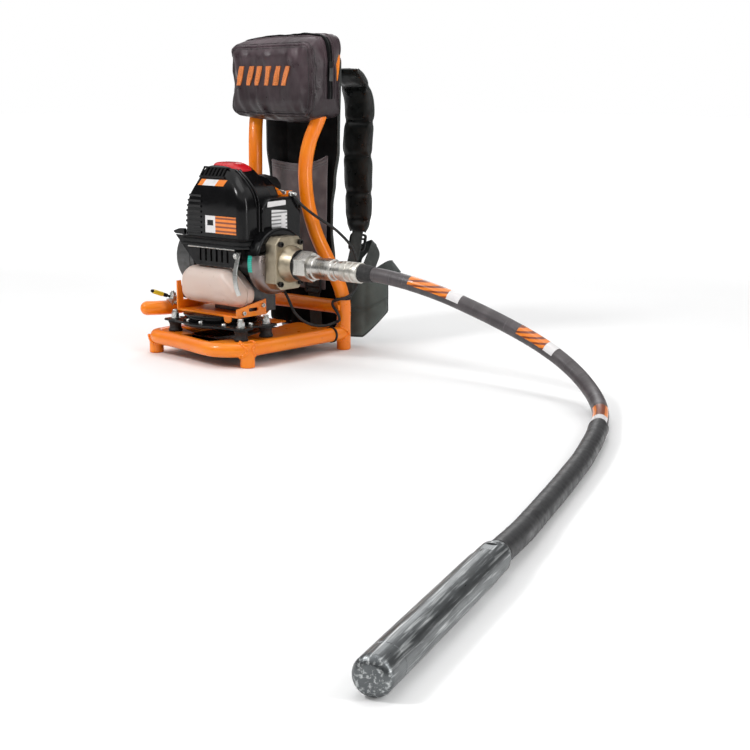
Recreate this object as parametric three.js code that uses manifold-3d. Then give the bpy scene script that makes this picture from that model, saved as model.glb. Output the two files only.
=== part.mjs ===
// Backpack concrete vibrator: an orange tube frame worn like a rucksack carries a small four-stroke
// engine, which drives a vibrating steel head through a flexible shaft.
// Millimetres. +Z up, +X towards the engine's output, +Y towards the operator's back.
// Pieces are placed in a working frame centred between the feet; at the end the whole model is moved so
// that the origin is under the middle of the standing machine.
import * as THREE from 'three';
import { mergeVertices } from 'three/addons/utils/BufferGeometryUtils.js';
import Module from 'manifold-3d';

const wasm = await Module();
wasm.setup();

// ---------------------------------------------------------------- driving dimensions
const GAP = 0.3;                                  // air between touching pieces
const TUBE_R = 12;                                // frame tube radius
const FOOT_X = 110;                               // half of the feet's spacing across
const FOOT_Y = 115;                               // half of the feet's spacing front to back
const BASE_Z = 29;                                // centre of the lower tubes
const CROSS_Z = 73;                               // centre of the rear cross tube and the side arm
const PLATE_Z = 36;                               // underside of the corner plates
const PLATE_T = 3;                                // sheet thickness of the corner plates
const ISOLATOR_R = 12;
const MOUNT_Z = [57.7, 61];                       // the plate that the isolators carry
const ISOLATOR_Z = [PLATE_Z + PLATE_T + GAP, MOUNT_Z[0] - GAP];
const ISOLATOR_X = [-76, 84];
const ISOLATOR_Y = [-104, -47];
const CRADLE_Z = 74;                              // underside of the engine cradle
const CRANK_Y = -30;                              // crank axis, along X
const CRANK_Z = 163;
const SHROUD_X = [-62, 80];
const SHROUD_Y = [-92, -22];
const SHROUD_Z = [202, 318];
const SHELL_T = 3;                                // wall of the plastic engine covers
const RECOIL_R = 55;
const RECOIL_X = [-103, -59];
const BELL_R = 54;
const BELL_X = [81, 102.7];
const ADAPTOR_X = [103, 127, 150];                // back face, square's front face, boss's front face
const NUT_X = [150.3, 185.7];
const NUT_AF = 46;                                // across flats
const SLEEVE_X = [186, 246];
const FERRULE_X = [246.3, 283];
const HOSE_R = 11.5;
const HEAD_R = 17.5;
const HEAD_SIDES = 56;
const HEAD_LENGTH = 332;
const HEAD_JOINT = [1048.5, -692, 17.8];           // where the hose enters the head
const HEAD_TIP = [1163.1, -1003.6, 17.8];
const CABLE_R = 2.5;
const STRAP_W = 64;
const STRAP_X = 81;                               // centre of each shoulder strap

// The hose: straight out of the ferrule, down to the floor in one sweep and along it to the head.
const HOSE_ROUTE = [
  [283.5, -30, 160], [303, -30, 160], [335, -29.5, 158], [380, -25, 151.5], [435, -15, 138], [490, -4, 119.5],
  [545, 5, 99], [595, 11, 78], [635, 11, 59], [672, 2, 41], [706, -17, 26], [738, -47.5, 17],
  [766.5, -85, 13.3], [790, -122, 13], [815, -165, 13], [841, -213, 13], [865, -261, 13],
  [892, -317, 13], [922, -385, 13], [951, -453, 13], [973.5, -507, 13.2], [996, -560, 14],
  [1018, -611, 15.8], [1035, -655, 17.2], [1042.3, -675.1, 17.7], [1048.4, -691.7, 17.8],
];

// The throttle cable: from the lever round the back of the engine to a tie on the lower right tube,
// round the right post and up to its bracket.
const CABLE_ROUTE = [
  [-97, -62, 95], [-92, -30, 94], [-90, 4, 96], [-78, 34, 100], [-40, 47, 104], [15, 44, 106],
  [56, 20, 108], [78, 6, 106], [89, 3, 95], [93, 12, 74], [98, 30, 57], [102, 56, 47],
  [103, 80, 45], [107, 94, 48], [117, 97, 54], [112, 97, 66], [101, 97, 78], [104, 95.5, 85],
  [116, 97, 89], [127, 108, 94], [132, 121, 106], [134, 126, 125], [133, 125, 150],
  [128, 118, 176], [115, 96, 205], [101, 55, 234], [96, 30, 252], [92.5, 18.5, 264],
  [88.5, 14.6, 270.5], [83.4, 14, 272],
];

// ---------------------------------------------------------------- finishes
const finish = (color, roughness, metalness) =>
  new THREE.MeshStandardMaterial({ color, roughness, metalness });
const ORANGE = finish(0xf07818, 0.35, 0.2);
const BLACK_GLOSS = finish(0x0b0b0d, 0.15, 0);
const BLACK_MATT = finish(0x1a1a1b, 0.6, 0);
const RED = finish(0xc01020, 0.25, 0);
const RUBBER = finish(0x151515, 0.8, 0);
const CAST = finish(0xb4b0a4, 0.4, 0.9);
const STEEL = finish(0xb8b8b6, 0.28, 1);
const TANK_WHITE = finish(0xe6ddd6, 0.45, 0);
const NYLON = finish(0x2a262c, 0.85, 0);
const QUILT = finish(0x141615, 0.7, 0);
const HOSE_GREY = finish(0x3c3638, 0.6, 0);

// ---------------------------------------------------------------- shape helpers
const model = new THREE.Group();

function put(name, geometry, material, parent = model) {
  const mesh = new THREE.Mesh(geometry, material);
  mesh.name = name;
  parent.add(mesh);
  return mesh;
}

function toSolid(geometry) {
  const bare = geometry.clone();
  bare.deleteAttribute('normal');
  bare.deleteAttribute('uv');
  const merged = mergeVertices(bare, 1e-4);
  return new wasm.Manifold(new wasm.Mesh({
    numProp: 3,
    vertProperties: new Float32Array(merged.attributes.position.array),
    triVerts: new Uint32Array(merged.index.array),
  }));
}

function toGeometry(solid) {
  const mesh = solid.getMesh();
  const geometry = new THREE.BufferGeometry();
  geometry.setAttribute('position', new THREE.BufferAttribute(new Float32Array(mesh.vertProperties), 3));
  geometry.setIndex(new THREE.BufferAttribute(new Uint32Array(mesh.triVerts), 1));
  return geometry;
}

const join = (...parts) => toGeometry(parts.map(toSolid).reduce((all, one) => all.add(one)));
const cut = (base, ...tools) =>
  toGeometry(tools.map(toSolid).reduce((left, tool) => left.subtract(tool), toSolid(base)));
const common = (a, b) => toGeometry(toSolid(a).intersect(toSolid(b)));

const box = (x, y, z) =>
  new THREE.BoxGeometry(x[1] - x[0], y[1] - y[0], z[1] - z[0])
    .translate((x[0] + x[1]) / 2, (y[0] + y[1]) / 2, (z[0] + z[1]) / 2);

// A closed outline with each corner rounded by an arc of its own radius.
function rounded(corners, radius, steps = 4) {
  const points = [];
  corners.forEach((corner, i) => {
    const here = new THREE.Vector2(...corner);
    const back = new THREE.Vector2(...corners.at(i - 1)).sub(here);
    const on = new THREE.Vector2(...corners[(i + 1) % corners.length]).sub(here);
    const r = Array.isArray(radius) ? radius[i] : radius;
    if (!r) {
      points.push(here);
      return;
    }
    const half = Math.acos(back.clone().normalize().dot(on.clone().normalize())) / 2;
    const reach = r / Math.tan(half);
    const from = back.setLength(reach).add(here);
    const to = on.setLength(reach).add(here);
    const arc = new THREE.QuadraticBezierCurve(from, here, to);
    points.push(...arc.getPoints(steps));
  });
  return points;
}

// An outline pulled straight along its normal; the bevel rounds its two rims without growing it.
function extrude(outline, length, bevel = 0) {
  const points = outline.map((p) => (p.isVector2 ? p : new THREE.Vector2(...p)));
  return new THREE.ExtrudeGeometry(new THREE.Shape(points), {
    depth: length - 2 * bevel,
    bevelEnabled: bevel > 0,
    bevelThickness: bevel,
    bevelSize: bevel,
    bevelOffset: -bevel,
    bevelSegments: 3,
    steps: 1,
  }).translate(0, 0, bevel);
}

const turned = (geometry, x, y, z) =>
  geometry.applyMatrix4(new THREE.Matrix4().makeBasis(
    new THREE.Vector3(...x), new THREE.Vector3(...y), new THREE.Vector3(...z)));

// Prisms along each axis: outlines are (x, y), (y, z) and (x, z).
const prismZ = (outline, z, bevel) => extrude(outline, z[1] - z[0], bevel).translate(0, 0, z[0]);
const prismX = (outline, x, bevel) =>
  turned(extrude(outline, x[1] - x[0], bevel), [0, 1, 0], [0, 0, 1], [1, 0, 0]).translate(x[0], 0, 0);
const prismY = (outline, y, bevel) =>
  turned(extrude(outline, y[1] - y[0], bevel), [1, 0, 0], [0, 0, 1], [0, -1, 0]).translate(0, y[1], 0);

// A turned piece: the profile is (radius, distance along the axis), starting and ending on the axis.
function latheX(profile, y, z, sides = 32) {
  const points = profile.map((p) => new THREE.Vector2(...p));
  return new THREE.LatheGeometry(points, sides).rotateZ(-Math.PI / 2).translate(0, y, z);
}
const latheZ = (profile, x, y, sides = 20) =>
  new THREE.LatheGeometry(profile.map((p) => new THREE.Vector2(...p)), sides)
    .rotateX(Math.PI / 2).translate(x, y, 0);
const rodX = (radius, x, y, z, sides) => latheX([[0, x[0]], [radius, x[0]], [radius, x[1]], [0, x[1]]], y, z, sides);
const rodZ = (radius, z, x, y, sides) => latheZ([[0, z[0]], [radius, z[0]], [radius, z[1]], [0, z[1]]], x, y, sides);

function circle(radius, sides) {
  return Array.from({ length: sides }, (_, i) => {
    const angle = (2 * Math.PI * i) / sides;
    return new THREE.Vector2(radius * Math.cos(angle), radius * Math.sin(angle));
  });
}

const smooth = (points) =>
  new THREE.CatmullRomCurve3(points.map((p) => new THREE.Vector3(...p)), false, 'centripetal');

function tube(points, radius, step, sides = 12) {
  const path = smooth(points);
  const steps = Math.max(1, Math.round(path.getLength() / step));
  return new THREE.ExtrudeGeometry(new THREE.Shape(circle(radius, sides)), {
    extrudePath: path, steps, bevelEnabled: false,
  });
}

// The outline of a band of even thickness along a smooth line in its plane.
function bandOutline(points, thickness, steps) {
  const line = new THREE.CatmullRomCurve3(points.map(([a, b]) => new THREE.Vector3(a, b, 0)));
  const sides = [[], []];
  for (let i = 0; i <= steps; i += 1) {
    const at = line.getPointAt(i / steps);
    const along = line.getTangentAt(i / steps);
    const off = new THREE.Vector2(-along.y, along.x).multiplyScalar(thickness / 2);
    sides[0].push(new THREE.Vector2(at.x + off.x, at.y + off.y));
    sides[1].unshift(new THREE.Vector2(at.x - off.x, at.y - off.y));
  }
  return sides.flat();
}

const mirrored = (points) => points.map(([x, ...rest]) => [-x, ...rest]);

// ---------------------------------------------------------------- frame
const POST_LINE = [
  [110, 115, 0], [110, 115, 45], [110, 115, 82], [107, 110, 107], [99, 101, 136], [89, 94, 162],
  [79, 87, 188], [70, 80.5, 220], [63.5, 76, 255], [60, 74.5, 300], [61.5, 76.5, 330], [66, 81.5, 358],
  [74, 92, 390], [79, 104, 420], [81.5, 114, 450], [82, 120, 480], [82, 122, 500],
];
const FRONT_LINE = [
  [-110, 102, BASE_Z], [-110, 40, BASE_Z], [-110, -30, BASE_Z], [-110.5, -84, BASE_Z],
  [-111, -103, BASE_Z], [-108, -117.5, BASE_Z], [-96, -125, BASE_Z], [-80, -127.5, BASE_Z],
  [-20, -135, BASE_Z], [40, -147, BASE_Z], [66, -149, BASE_Z], [88, -139, BASE_Z], [112, -114.5, BASE_Z],
];
const RIGHT_LINE = [[FOOT_X, -FOOT_Y + 3, BASE_Z], [FOOT_X, 0, BASE_Z], [FOOT_X, FOOT_Y, BASE_Z]];
const ARM_END = [-135, -115, CROSS_Z];
const ARM_LINE = [
  [-110, 115, CROSS_Z], [-110, 40, CROSS_Z], [-110, -20, CROSS_Z], [-110, -58, CROSS_Z],
  [-114, -80, CROSS_Z], [-124, -100, CROSS_Z], ARM_END,
];
const tubeRoute = (line, extra = 0) => tube(line, TUBE_R + extra, 22);
const around = (line) => tubeRoute(line, GAP);
const aroundPosts = [around(POST_LINE), around(mirrored(POST_LINE))];

function addFrame() {
  put('post_right', tubeRoute(POST_LINE), ORANGE);
  put('post_left', tubeRoute(mirrored(POST_LINE)), ORANGE);
  put('base_loop', cut(tubeRoute(FRONT_LINE), ...aroundPosts), ORANGE);
  put('base_right_tube', cut(tubeRoute(RIGHT_LINE), around(FRONT_LINE), ...aroundPosts), ORANGE);
  const dome = new THREE.SphereGeometry(TUBE_R, 20, 14).translate(...ARM_END);
  put('side_arm', cut(join(tubeRoute(ARM_LINE), dome), ...aroundPosts), ORANGE);
  for (const [name, y, z] of [['rear_cross_tube', FOOT_Y, CROSS_Z], ['top_cross_tube', 120.5, 484]]) {
    const reach = z > CROSS_Z ? 82 : FOOT_X;
    const bar = tube([[-reach, y, z], [0, y, z], [reach, y, z]], TUBE_R, 60);
    put(name, cut(bar, around(ARM_LINE), ...aroundPosts), ORANGE);
  }
  for (const [side, x, y] of [['left', -111, -117], ['right', FOOT_X, -FOOT_Y]]) {
    const foot = rodZ(TUBE_R, [0, BASE_Z - 4], x, y, 16);
    put(`front_foot_${side}`, cut(foot, around(FRONT_LINE), around(RIGHT_LINE)), ORANGE);
  }
}

// Flat plates welded into the lower corners; the rubber isolators stand on them.
function addCornerPlates() {
  const inner = FOOT_X - 8.6;
  const z = [PLATE_Z, PLATE_Z + PLATE_T];
  const outlines = {
    gusset_front_left: [[-inner, -70], [-inner, -108], [-97, -115], [-81, -119], [-36, -125], [-36, -98]],
    gusset_front_right: [[48, -139], [65, -140.5], [83, -132], [inner, -113], [inner, -68], [66, -80]],
    gusset_rear_left: [[-inner, -66], [-56, -66], [-15, 66], [-15, 100], [-inner, 100]],
    gusset_rear_right: [[58, -64], [inner, -64], [inner, 100], [15, 100], [15, 66]],
  };
  for (const [name, outline] of Object.entries(outlines)) {
    put(name, cut(prismZ(outline, z), around(FRONT_LINE), around(RIGHT_LINE), ...aroundPosts), ORANGE);
  }
}

function addEngineMount() {
  const [z0, z1] = ISOLATOR_Z;
  const waist = ISOLATOR_R - 3;
  const bobbin = [[0, z0], [ISOLATOR_R, z0], [ISOLATOR_R, z0 + 3], [waist, z0 + 6],
    [waist, z1 - 6], [ISOLATOR_R, z1 - 3], [ISOLATOR_R, z1], [0, z1]];
  for (const x of ISOLATOR_X) {
    for (const y of ISOLATOR_Y) {
      const place = `${y < -60 ? 'front' : 'rear'}_${x < 0 ? 'left' : 'right'}`;
      put(`isolator_${place}`, latheZ(bobbin, x, y, 16), RUBBER);
    }
  }
  const [left, right] = ISOLATOR_X;
  const [front, rear] = ISOLATOR_Y;
  const middle = (left + right) / 2;
  const ear = 14;
  const plate = [
    [left - ear, front - ear], [left + ear, front - ear], [middle - 40, front - ear - 5],
    [middle + 40, front - ear - 5], [right - ear, front - ear], [right + ear, front - ear],
    [right + ear, front + ear], [right + 4, front + 24], [right + 4, rear - 24],
    [right + ear, rear - ear], [right + ear, rear + ear], [right - ear, rear + ear],
    [middle + 40, rear + ear + 8], [middle - 40, rear + ear + 8], [left + ear, rear + ear],
    [left - ear, rear + ear], [left - ear, rear - ear], [left - 4, rear - 24],
    [left - 4, front + 24], [left - ear, front + ear],
  ];
  put('isolator_plate', prismZ(rounded(plate, 4, 2), MOUNT_Z), BLACK_MATT);
  put('mounting_disc', rodZ(48, [MOUNT_Z[1] + GAP, CRADLE_Z - GAP], middle, -52, 36), BLACK_MATT);

  const floor = prismZ([[-78, -98], [70, -98], [70, -32], [30, 20], [-78, 20]], [CRADLE_Z, CRADLE_Z + 3]);
  const leftWing = [[-98, CRADLE_Z], [-98, 124], [-90, 124], [-84.8, 90], [-40, 90], [-40, CRADLE_Z]];
  const rightWing = [[-98, CRADLE_Z], [-98, 88], [-44, 98], [-32, 100], [-32, CRADLE_Z]];
  const cradle = join(floor, prismX(leftWing, [-78, -75.3]), prismX(rightWing, [67, 70]));
  const slot = prismX(rounded([[-72, 82], [-50, 82], [-50, 88], [-72, 88]], 2.9, 3), [60, 75]);
  put('cradle', cut(cradle, slot), ORANGE);
}

// ---------------------------------------------------------------- engine
// The shroud seen from the front, (x, z): a tall shoulder on the left and a long round one on the right.
const shroudFront = (inset) => {
  const [x0, x1] = [SHROUD_X[0] + inset, SHROUD_X[1] - inset];
  const top = SHROUD_Z[1] - inset;
  return rounded(
    [[x0, SHROUD_Z[0]], [x1, SHROUD_Z[0]], [x1, 262], [58, top - 6], [14, top], [x0 + 8, top - 4]],
    [0, 0, 22, 34, 8, 16], 4);
};
// The same shroud seen from the side, (y, z): an upright front that leans back towards the top.
const shroudSide = (inset, rear) => {
  const top = SHROUD_Z[1] - inset;
  return rounded(
    [[SHROUD_Y[0] + inset, SHROUD_Z[0]], [rear, SHROUD_Z[0]], [rear, top],
      [-66, top], [SHROUD_Y[0] + inset, 284]],
    [0, 0, 0, 10, 16], 3);
};
const recoilSpace = () => rodX(RECOIL_R + 0.8, [-110, -49], CRANK_Y, CRANK_Z);

function addEngineCovers() {
  const skin = common(prismY(shroudFront(0), SHROUD_Y), prismX(shroudSide(0, SHROUD_Y[1]), SHROUD_X));
  const hollow = common(
    prismY(shroudFront(SHELL_T), [SHROUD_Y[0], SHROUD_Y[1] + 5]),
    prismX(shroudSide(SHELL_T, SHROUD_Y[1] + 5), SHROUD_X));
  const below = box([SHROUD_X[0] + SHELL_T, SHROUD_X[1] - SHELL_T], [SHROUD_Y[0] + SHELL_T, 0], [195, 210]);
  put('shroud', cut(skin, hollow, below, recoilSpace()), BLACK_GLOSS);

  const guard = [[-85, 201.6], [-36, 155], [56, 155], [62, 201.6]];
  const slots = Array.from({ length: 6 }, (_, i) =>
    prismY(rounded([[-26 + 13 * i, 162], [-21 + 13 * i, 162], [-21 + 13 * i, 188], [-26 + 13 * i, 188]], 2, 2),
      [-95, -80]));
  put('front_guard', cut(prismY(guard, [-91, -88]), ...slots), BLACK_MATT);

  const lid = prismZ(rounded([[-22, -62], [44, -62], [50, -26], [-22, -26]], 8, 3), [318.3, 326], 3);
  put('top_cover', lid, RED);

  const cowl = rounded([[-50, 200], [88, 200], [88, 262], [70, 266], [-50, 266]], [0, 0, 8, 6, 8], 3);
  const cowlHollow = rounded([[-47, 195], [85, 195], [85, 260], [70, 263], [-47, 263]], [0, 0, 6, 6, 6], 3);
  const outer = prismY(cowl, [SHROUD_Y[1] + GAP, 30]);
  const inside = prismY(cowlHollow, [SHROUD_Y[1] - 5, 27]);
  const cheek = prismX(rounded([[-55, 168], [36, 168], [36, 262], [-55, 262]], 8, 3), [80.4, 88]);
  const bell = rodX(BELL_R + 0.8, [60, 110], CRANK_Y, CRANK_Z);
  put('fan_cover', cut(join(cut(outer, inside), cheek), bell, recoilSpace()), BLACK_GLOSS);
}

function addCylinder() {
  const fins = Array.from({ length: 5 }, (_, i) => box([-38, 38], [-60, -2], [206 + 10 * i, 209 + 10 * i]));
  const headFins = Array.from({ length: 3 }, (_, i) => box([-38, 38], [-60, -26], [262 + 10 * i, 265 + 10 * i]));
  const barrel = box([-24, 24], [-52, -8], [202.5, 256]);
  const head = box([-24, 24], [-52, -26], [250, 290]);
  put('cylinder_block', join(barrel, head, ...fins, ...headFins), CAST);
  const can = prismZ(rounded([[-40, -88], [40, -88], [40, -63], [-40, -63]], 5, 2), [214, 272], 3);
  put('silencer', can, STEEL);
  put('spark_plug_cap', rodZ(8, [290.4, 308], 0, -40, 16), RUBBER);
}

function addCrankcase() {
  const flange = rodX(RECOIL_R - 1, [-58.7, -50], CRANK_Y, CRANK_Z, 32);
  const barrel = rodX(36, [-52, 80.6], CRANK_Y, CRANK_Z, 24);
  const foot = box([-30, 60], [-55, 0], [CRADLE_Z + 3 + GAP, 135]);
  const bore = rodX(10.6, [-70, 90], CRANK_Y, CRANK_Z, 20);
  put('crankcase', cut(join(flange, barrel, foot), bore), CAST);

  const shaft = latheX([[0, -76], [10, -76], [10, -74], [44, -74], [44, -66], [10, -66],
    [10, 83.5], [6, 83.5], [6, 93], [0, 93]], CRANK_Y, CRANK_Z, 28);
  put('crankshaft', shaft, STEEL);
  const shoes = latheX([[7, 84], [30, 84], [30, 91], [7, 91], [7, 84]], CRANK_Y, CRANK_Z, 28);
  put('clutch_shoes', shoes, CAST);
  const drum = latheX([[0, 93.8], [34, 93.8], [34, 83], [37, 83], [37, 97], [8, 97], [8, 145], [0, 145]],
    CRANK_Y, CRANK_Z, 28);
  put('clutch_drum', turnedOut(drum), STEEL);
}

// A profile listed from its inner face outwards has its faces turned the other way.
function turnedOut(geometry) {
  const solid = geometry.clone();
  const index = solid.index.array;
  const volume = signedVolume(solid);
  if (volume > 0) return solid;
  for (let i = 0; i < index.length; i += 3) [index[i + 1], index[i + 2]] = [index[i + 2], index[i + 1]];
  return solid;
}

function signedVolume(geometry) {
  const position = geometry.attributes.position;
  const corner = [0, 1, 2].map(() => new THREE.Vector3());
  let total = 0;
  for (let i = 0; i < geometry.index.count; i += 3) {
    corner.forEach((c, k) => c.fromBufferAttribute(position, geometry.index.getX(i + k)));
    total += corner[0].dot(corner[1].clone().cross(corner[2])) / 6;
  }
  return total;
}

function addTank() {
  const outline = rounded([[-74, 100], [-60, 89], [56, 89], [72, 98], [72, 118], [34, 152], [-58, 152], [-74, 138]],
    [8, 8, 10, 8, 8, 10, 10, 10], 4);
  const body = prismY(outline, [-98, -58], 6);
  const crankcase = rodX(36.8, [-60, 90], CRANK_Y, CRANK_Z, 24);
  put('fuel_tank', cut(body, recoilSpace(), crankcase), TANK_WHITE);
  put('fuel_cap', latheX([[0, -87], [11, -87], [13, -85], [13, -74.3], [0, -74.3]], -70, 104, 20), BLACK_MATT);
}

function addRecoilStarter() {
  const [x0, x1] = RECOIL_X;
  const cup = latheX([[0, x0], [30, x0], [48, x0 + 4], [RECOIL_R, x0 + 14], [RECOIL_R, x1],
    [RECOIL_R - 4, x1], [RECOIL_R - 4, x0 + 15], [46, x0 + 8], [0, x0 + 5]], CRANK_Y, CRANK_Z, 36);
  put('recoil_housing', cup, CAST);
  const reel = latheX([[0, -95], [28, -95], [28, -92], [22, -91], [22, -86], [28, -85], [28, -82], [0, -82]],
    CRANK_Y, CRANK_Z, 24);
  put('recoil_reel', reel, BLACK_MATT);
  const grip = rounded([[-122, 215], [-90, 215], [-90, 227], [-122, 227]], 5, 3);
  put('recoil_handle', prismY(grip, [-8, 4], 3), RUBBER);
}

function addIntake() {
  put('carburettor', cut(box([-15, 25], [30.3, 44], [222, 258]), rodX(5, [-20, 30], 37, 240, 12)), CAST);
  const cleaner = prismY(rounded([[-42, 206], [28, 206], [28, 286], [18, 298], [-32, 298], [-42, 286]], 6, 3),
    [44.3, 68], 4);
  put('air_cleaner', cleaner, BLACK_MATT);
  const cam = rounded([[33.5, 236.5], [42, 236.5], [42, 240], [38, 245.5], [33.5, 243]], 1, 2);
  put('throttle_cam', prismX(cam, [25.4, 28.4]), STEEL);
  const choke = rounded([[53, 254], [59, 254], [59, 228], [53, 228]], 2.5, 2);
  put('choke_lever', prismX(choke, [-45.4, -42.4]), BLACK_MATT);
  const strip = [[30, 281], [48, 276], [60, 266.6], [82.4, 266.6], [82.4, 277], [80, 277],
    [80, 269.2], [61, 269.2], [49, 278.8], [31, 283.8]];
  put('cable_bracket', prismY(strip, [8, 20]), ORANGE);
}

// ---------------------------------------------------------------- output, hose and head
function addOutput() {
  const housing = latheX([[9, BELL_X[0]], [BELL_R, BELL_X[0]], [BELL_R, 97], [48, BELL_X[1]], [9, BELL_X[1]],
    [9, BELL_X[0]]], CRANK_Y, CRANK_Z, 40);
  const clutchSpace = rodX(40, [BELL_X[0] - 1, 98.5], CRANK_Y, CRANK_Z, 28);
  put('bell_housing', cut(turnedOut(housing), clutchSpace), CAST);

  const [back, face, end] = ADAPTOR_X;
  const half = { y: 37, z: 45 };
  const square = [
    [CRANK_Y - half.y, CRANK_Z - half.z], [CRANK_Y + half.y, CRANK_Z - half.z],
    [CRANK_Y + half.y, CRANK_Z + half.z], [CRANK_Y - half.y, CRANK_Z + half.z],
  ];
  const block = prismX(rounded(square, 15, 1), [back, face], 1.5);
  const boss = rodX(29, [face - 5, end], CRANK_Y, CRANK_Z - 1, 32);
  const bore = rodX(9, [back - 5, end + 5], CRANK_Y, CRANK_Z, 20);
  put('output_adaptor', cut(join(block, boss), bore), CAST);

  const nut = extrude(circle(NUT_AF / Math.sqrt(3), 6), NUT_X[1] - NUT_X[0]);
  put('coupling_nut', turned(nut, [0, 1, 0], [0, 0, 1], [1, 0, 0]).translate(NUT_X[0], CRANK_Y, 161), STEEL);
  put('coupling_sleeve', rodX(15, SLEEVE_X, CRANK_Y, 160, 24), STEEL);
  const [f0, f1] = FERRULE_X;
  const rings = [[0, f0], [16.5, f0], [16.5, f0 + 10], [15, f0 + 12], [16.5, f0 + 14], [16.5, f0 + 22],
    [15, f0 + 24], [16.5, f0 + 26], [16.5, f1], [0, f1]];
  put('hose_ferrule', latheX(rings, CRANK_Y, 160, 24), STEEL);
  put('flexible_hose', tube(HOSE_ROUTE, HOSE_R, 60, 12), HOSE_GREY);
}

function addHead() {
  const joint = new THREE.Vector3(...HEAD_JOINT);
  const along = new THREE.Vector3(...HEAD_TIP).sub(joint).normalize();
  const head = new THREE.Group();
  head.position.copy(joint);
  head.quaternion.setFromUnitVectors(new THREE.Vector3(1, 0, 0), along);
  model.add(head);
  const collar = [[0, 0.3], [14, 0.3], [14.6, 3], [14.6, 9], [16.8, 12], [16.8, 47.2], [16, 48], [0, 48]];
  const flats = [-1, 1].map((side) => box([19, 37], [-18, 18], [side * 17.6 - 2, side * 17.6 + 2]));
  put('head_collar', cut(latheX(collar, 0, 0, HEAD_SIDES), ...flats), STEEL, head);
  const tubeEnd = HEAD_LENGTH - 34;
  const wall = [[13.4, 48.3], [HEAD_R - 0.6, 48.3], [HEAD_R, 48.9], [HEAD_R, tubeEnd - 0.6], [HEAD_R - 0.6, tubeEnd],
    [13.4, tubeEnd], [13.4, 48.3]];
  put('head_tube', turnedOut(latheX(wall, 0, 0, HEAD_SIDES)), STEEL, head);
  const nose = [[0, tubeEnd + 0.3], [HEAD_R - 0.6, tubeEnd + 0.3], [HEAD_R, tubeEnd + 0.9]];
  for (let i = 0; i <= 8; i += 1) {
    const angle = (Math.PI / 2) * (i / 8);
    nose.push([HEAD_R - 8 + 8 * Math.cos(angle), HEAD_LENGTH - 8 + 8 * Math.sin(angle)]);
  }
  nose.push([0, HEAD_LENGTH]);
  put('head_nose', latheX(nose, 0, 0, HEAD_SIDES), STEEL, head);
  const half = Array.from({ length: 13 }, (_, i) => {
    const angle = Math.PI * (1 + i / 12);
    return [11.5 * Math.cos(angle), 11.5 * Math.sin(angle)];
  });
  const weight = prismX(half, [130, 270]);
  put('eccentric_rotor', join(weight, rodX(5, [60, 290], 0, 0, 16)), STEEL, head);
}

// ---------------------------------------------------------------- throttle control
function addThrottle() {
  put('throttle_clamp', cut(box([-119, -104], [-86, -69], [76, 88]), around(ARM_LINE)), STEEL);
  const hub = rodZ(7, [88.3, 92.3], -112, -77, 20);
  const arm = tube([[-112, -77, 90.3], [-112.5, -90, 94.4], [-113.3, -106, 100], [-114, -121, 105.4]], 2, 9, 10);
  put('throttle_lever', join(hub, arm), BLACK_MATT);
  put('throttle_cable', tube(CABLE_ROUTE, CABLE_R, 18, 8), BLACK_MATT);
}

// ---------------------------------------------------------------- soft goods
function addSoftGoods() {
  const side = rounded([[50, 391], [132, 391], [132, 544], [50, 524]], 24, 4);
  const bag = prismX(side, [-104, 98], 10);
  const cross = tube([[-82, 120.5, 484], [0, 120.5, 484], [82, 120.5, 484]], TUBE_R + GAP, 60);
  put('bag', cut(bag, ...aroundPosts, cross), NYLON);

  const panel = rounded([
    [-92, 24], [74, 24], [74, 100], [60, 150], [56, 230], [64, 285], [73, 340], [78, 500],
    [-100, 500], [-98, 340], [-90, 285], [-86, 200], [-92, 100]], 10, 2);
  put('back_panel', prismY(panel, [137, 150], 3), NYLON);

  const strapLine = [[155, 476.5], [162, 474], [172, 467], [183, 454], [190, 434], [191, 400], [187, 360],
    [186, 320], [188, 270], [188, 230], [186, 196]];
  const beltLine = [[8, 157], [56, 162], [90, 172], [113, 188], [129, 208]];
  for (const [name, sign] of [['left', -1], ['right', 1]]) {
    const x = [sign * STRAP_X - STRAP_W / 2, sign * STRAP_X + STRAP_W / 2];
    put(`shoulder_strap_${name}`, prismX(bandOutline(strapLine, 16, 20), x), QUILT);
    const line = sign > 0 ? beltLine : mirrored(beltLine);
    put(`hip_belt_${name}`, prismZ(bandOutline(line, 12, 12), [14, 112]), NYLON);
  }
}

addFrame();
addCornerPlates();
addEngineMount();
addEngineCovers();
addCylinder();
addCrankcase();
addTank();
addRecoilStarter();
addIntake();
addOutput();
addHead();
addThrottle();
addSoftGoods();

// The origin: on the floor, under the middle of everything but the free hose and the head on it.
const ON_THE_HOSE = /^(hose_ferrule|flexible_hose|head_|eccentric_rotor)/;
model.updateMatrixWorld(true);
const standing = new THREE.Box3();
model.traverse((mesh) => {
  if (mesh.isMesh && !ON_THE_HOSE.test(mesh.name)) standing.expandByObject(mesh, true);
});
const middle = standing.getCenter(new THREE.Vector3());
model.position.set(-middle.x, -middle.y, -standing.min.z);

export default model;
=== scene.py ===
import math

import bmesh
import bpy
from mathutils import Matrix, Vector, noise
from mathutils.bvhtree import BVHTree


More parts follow.
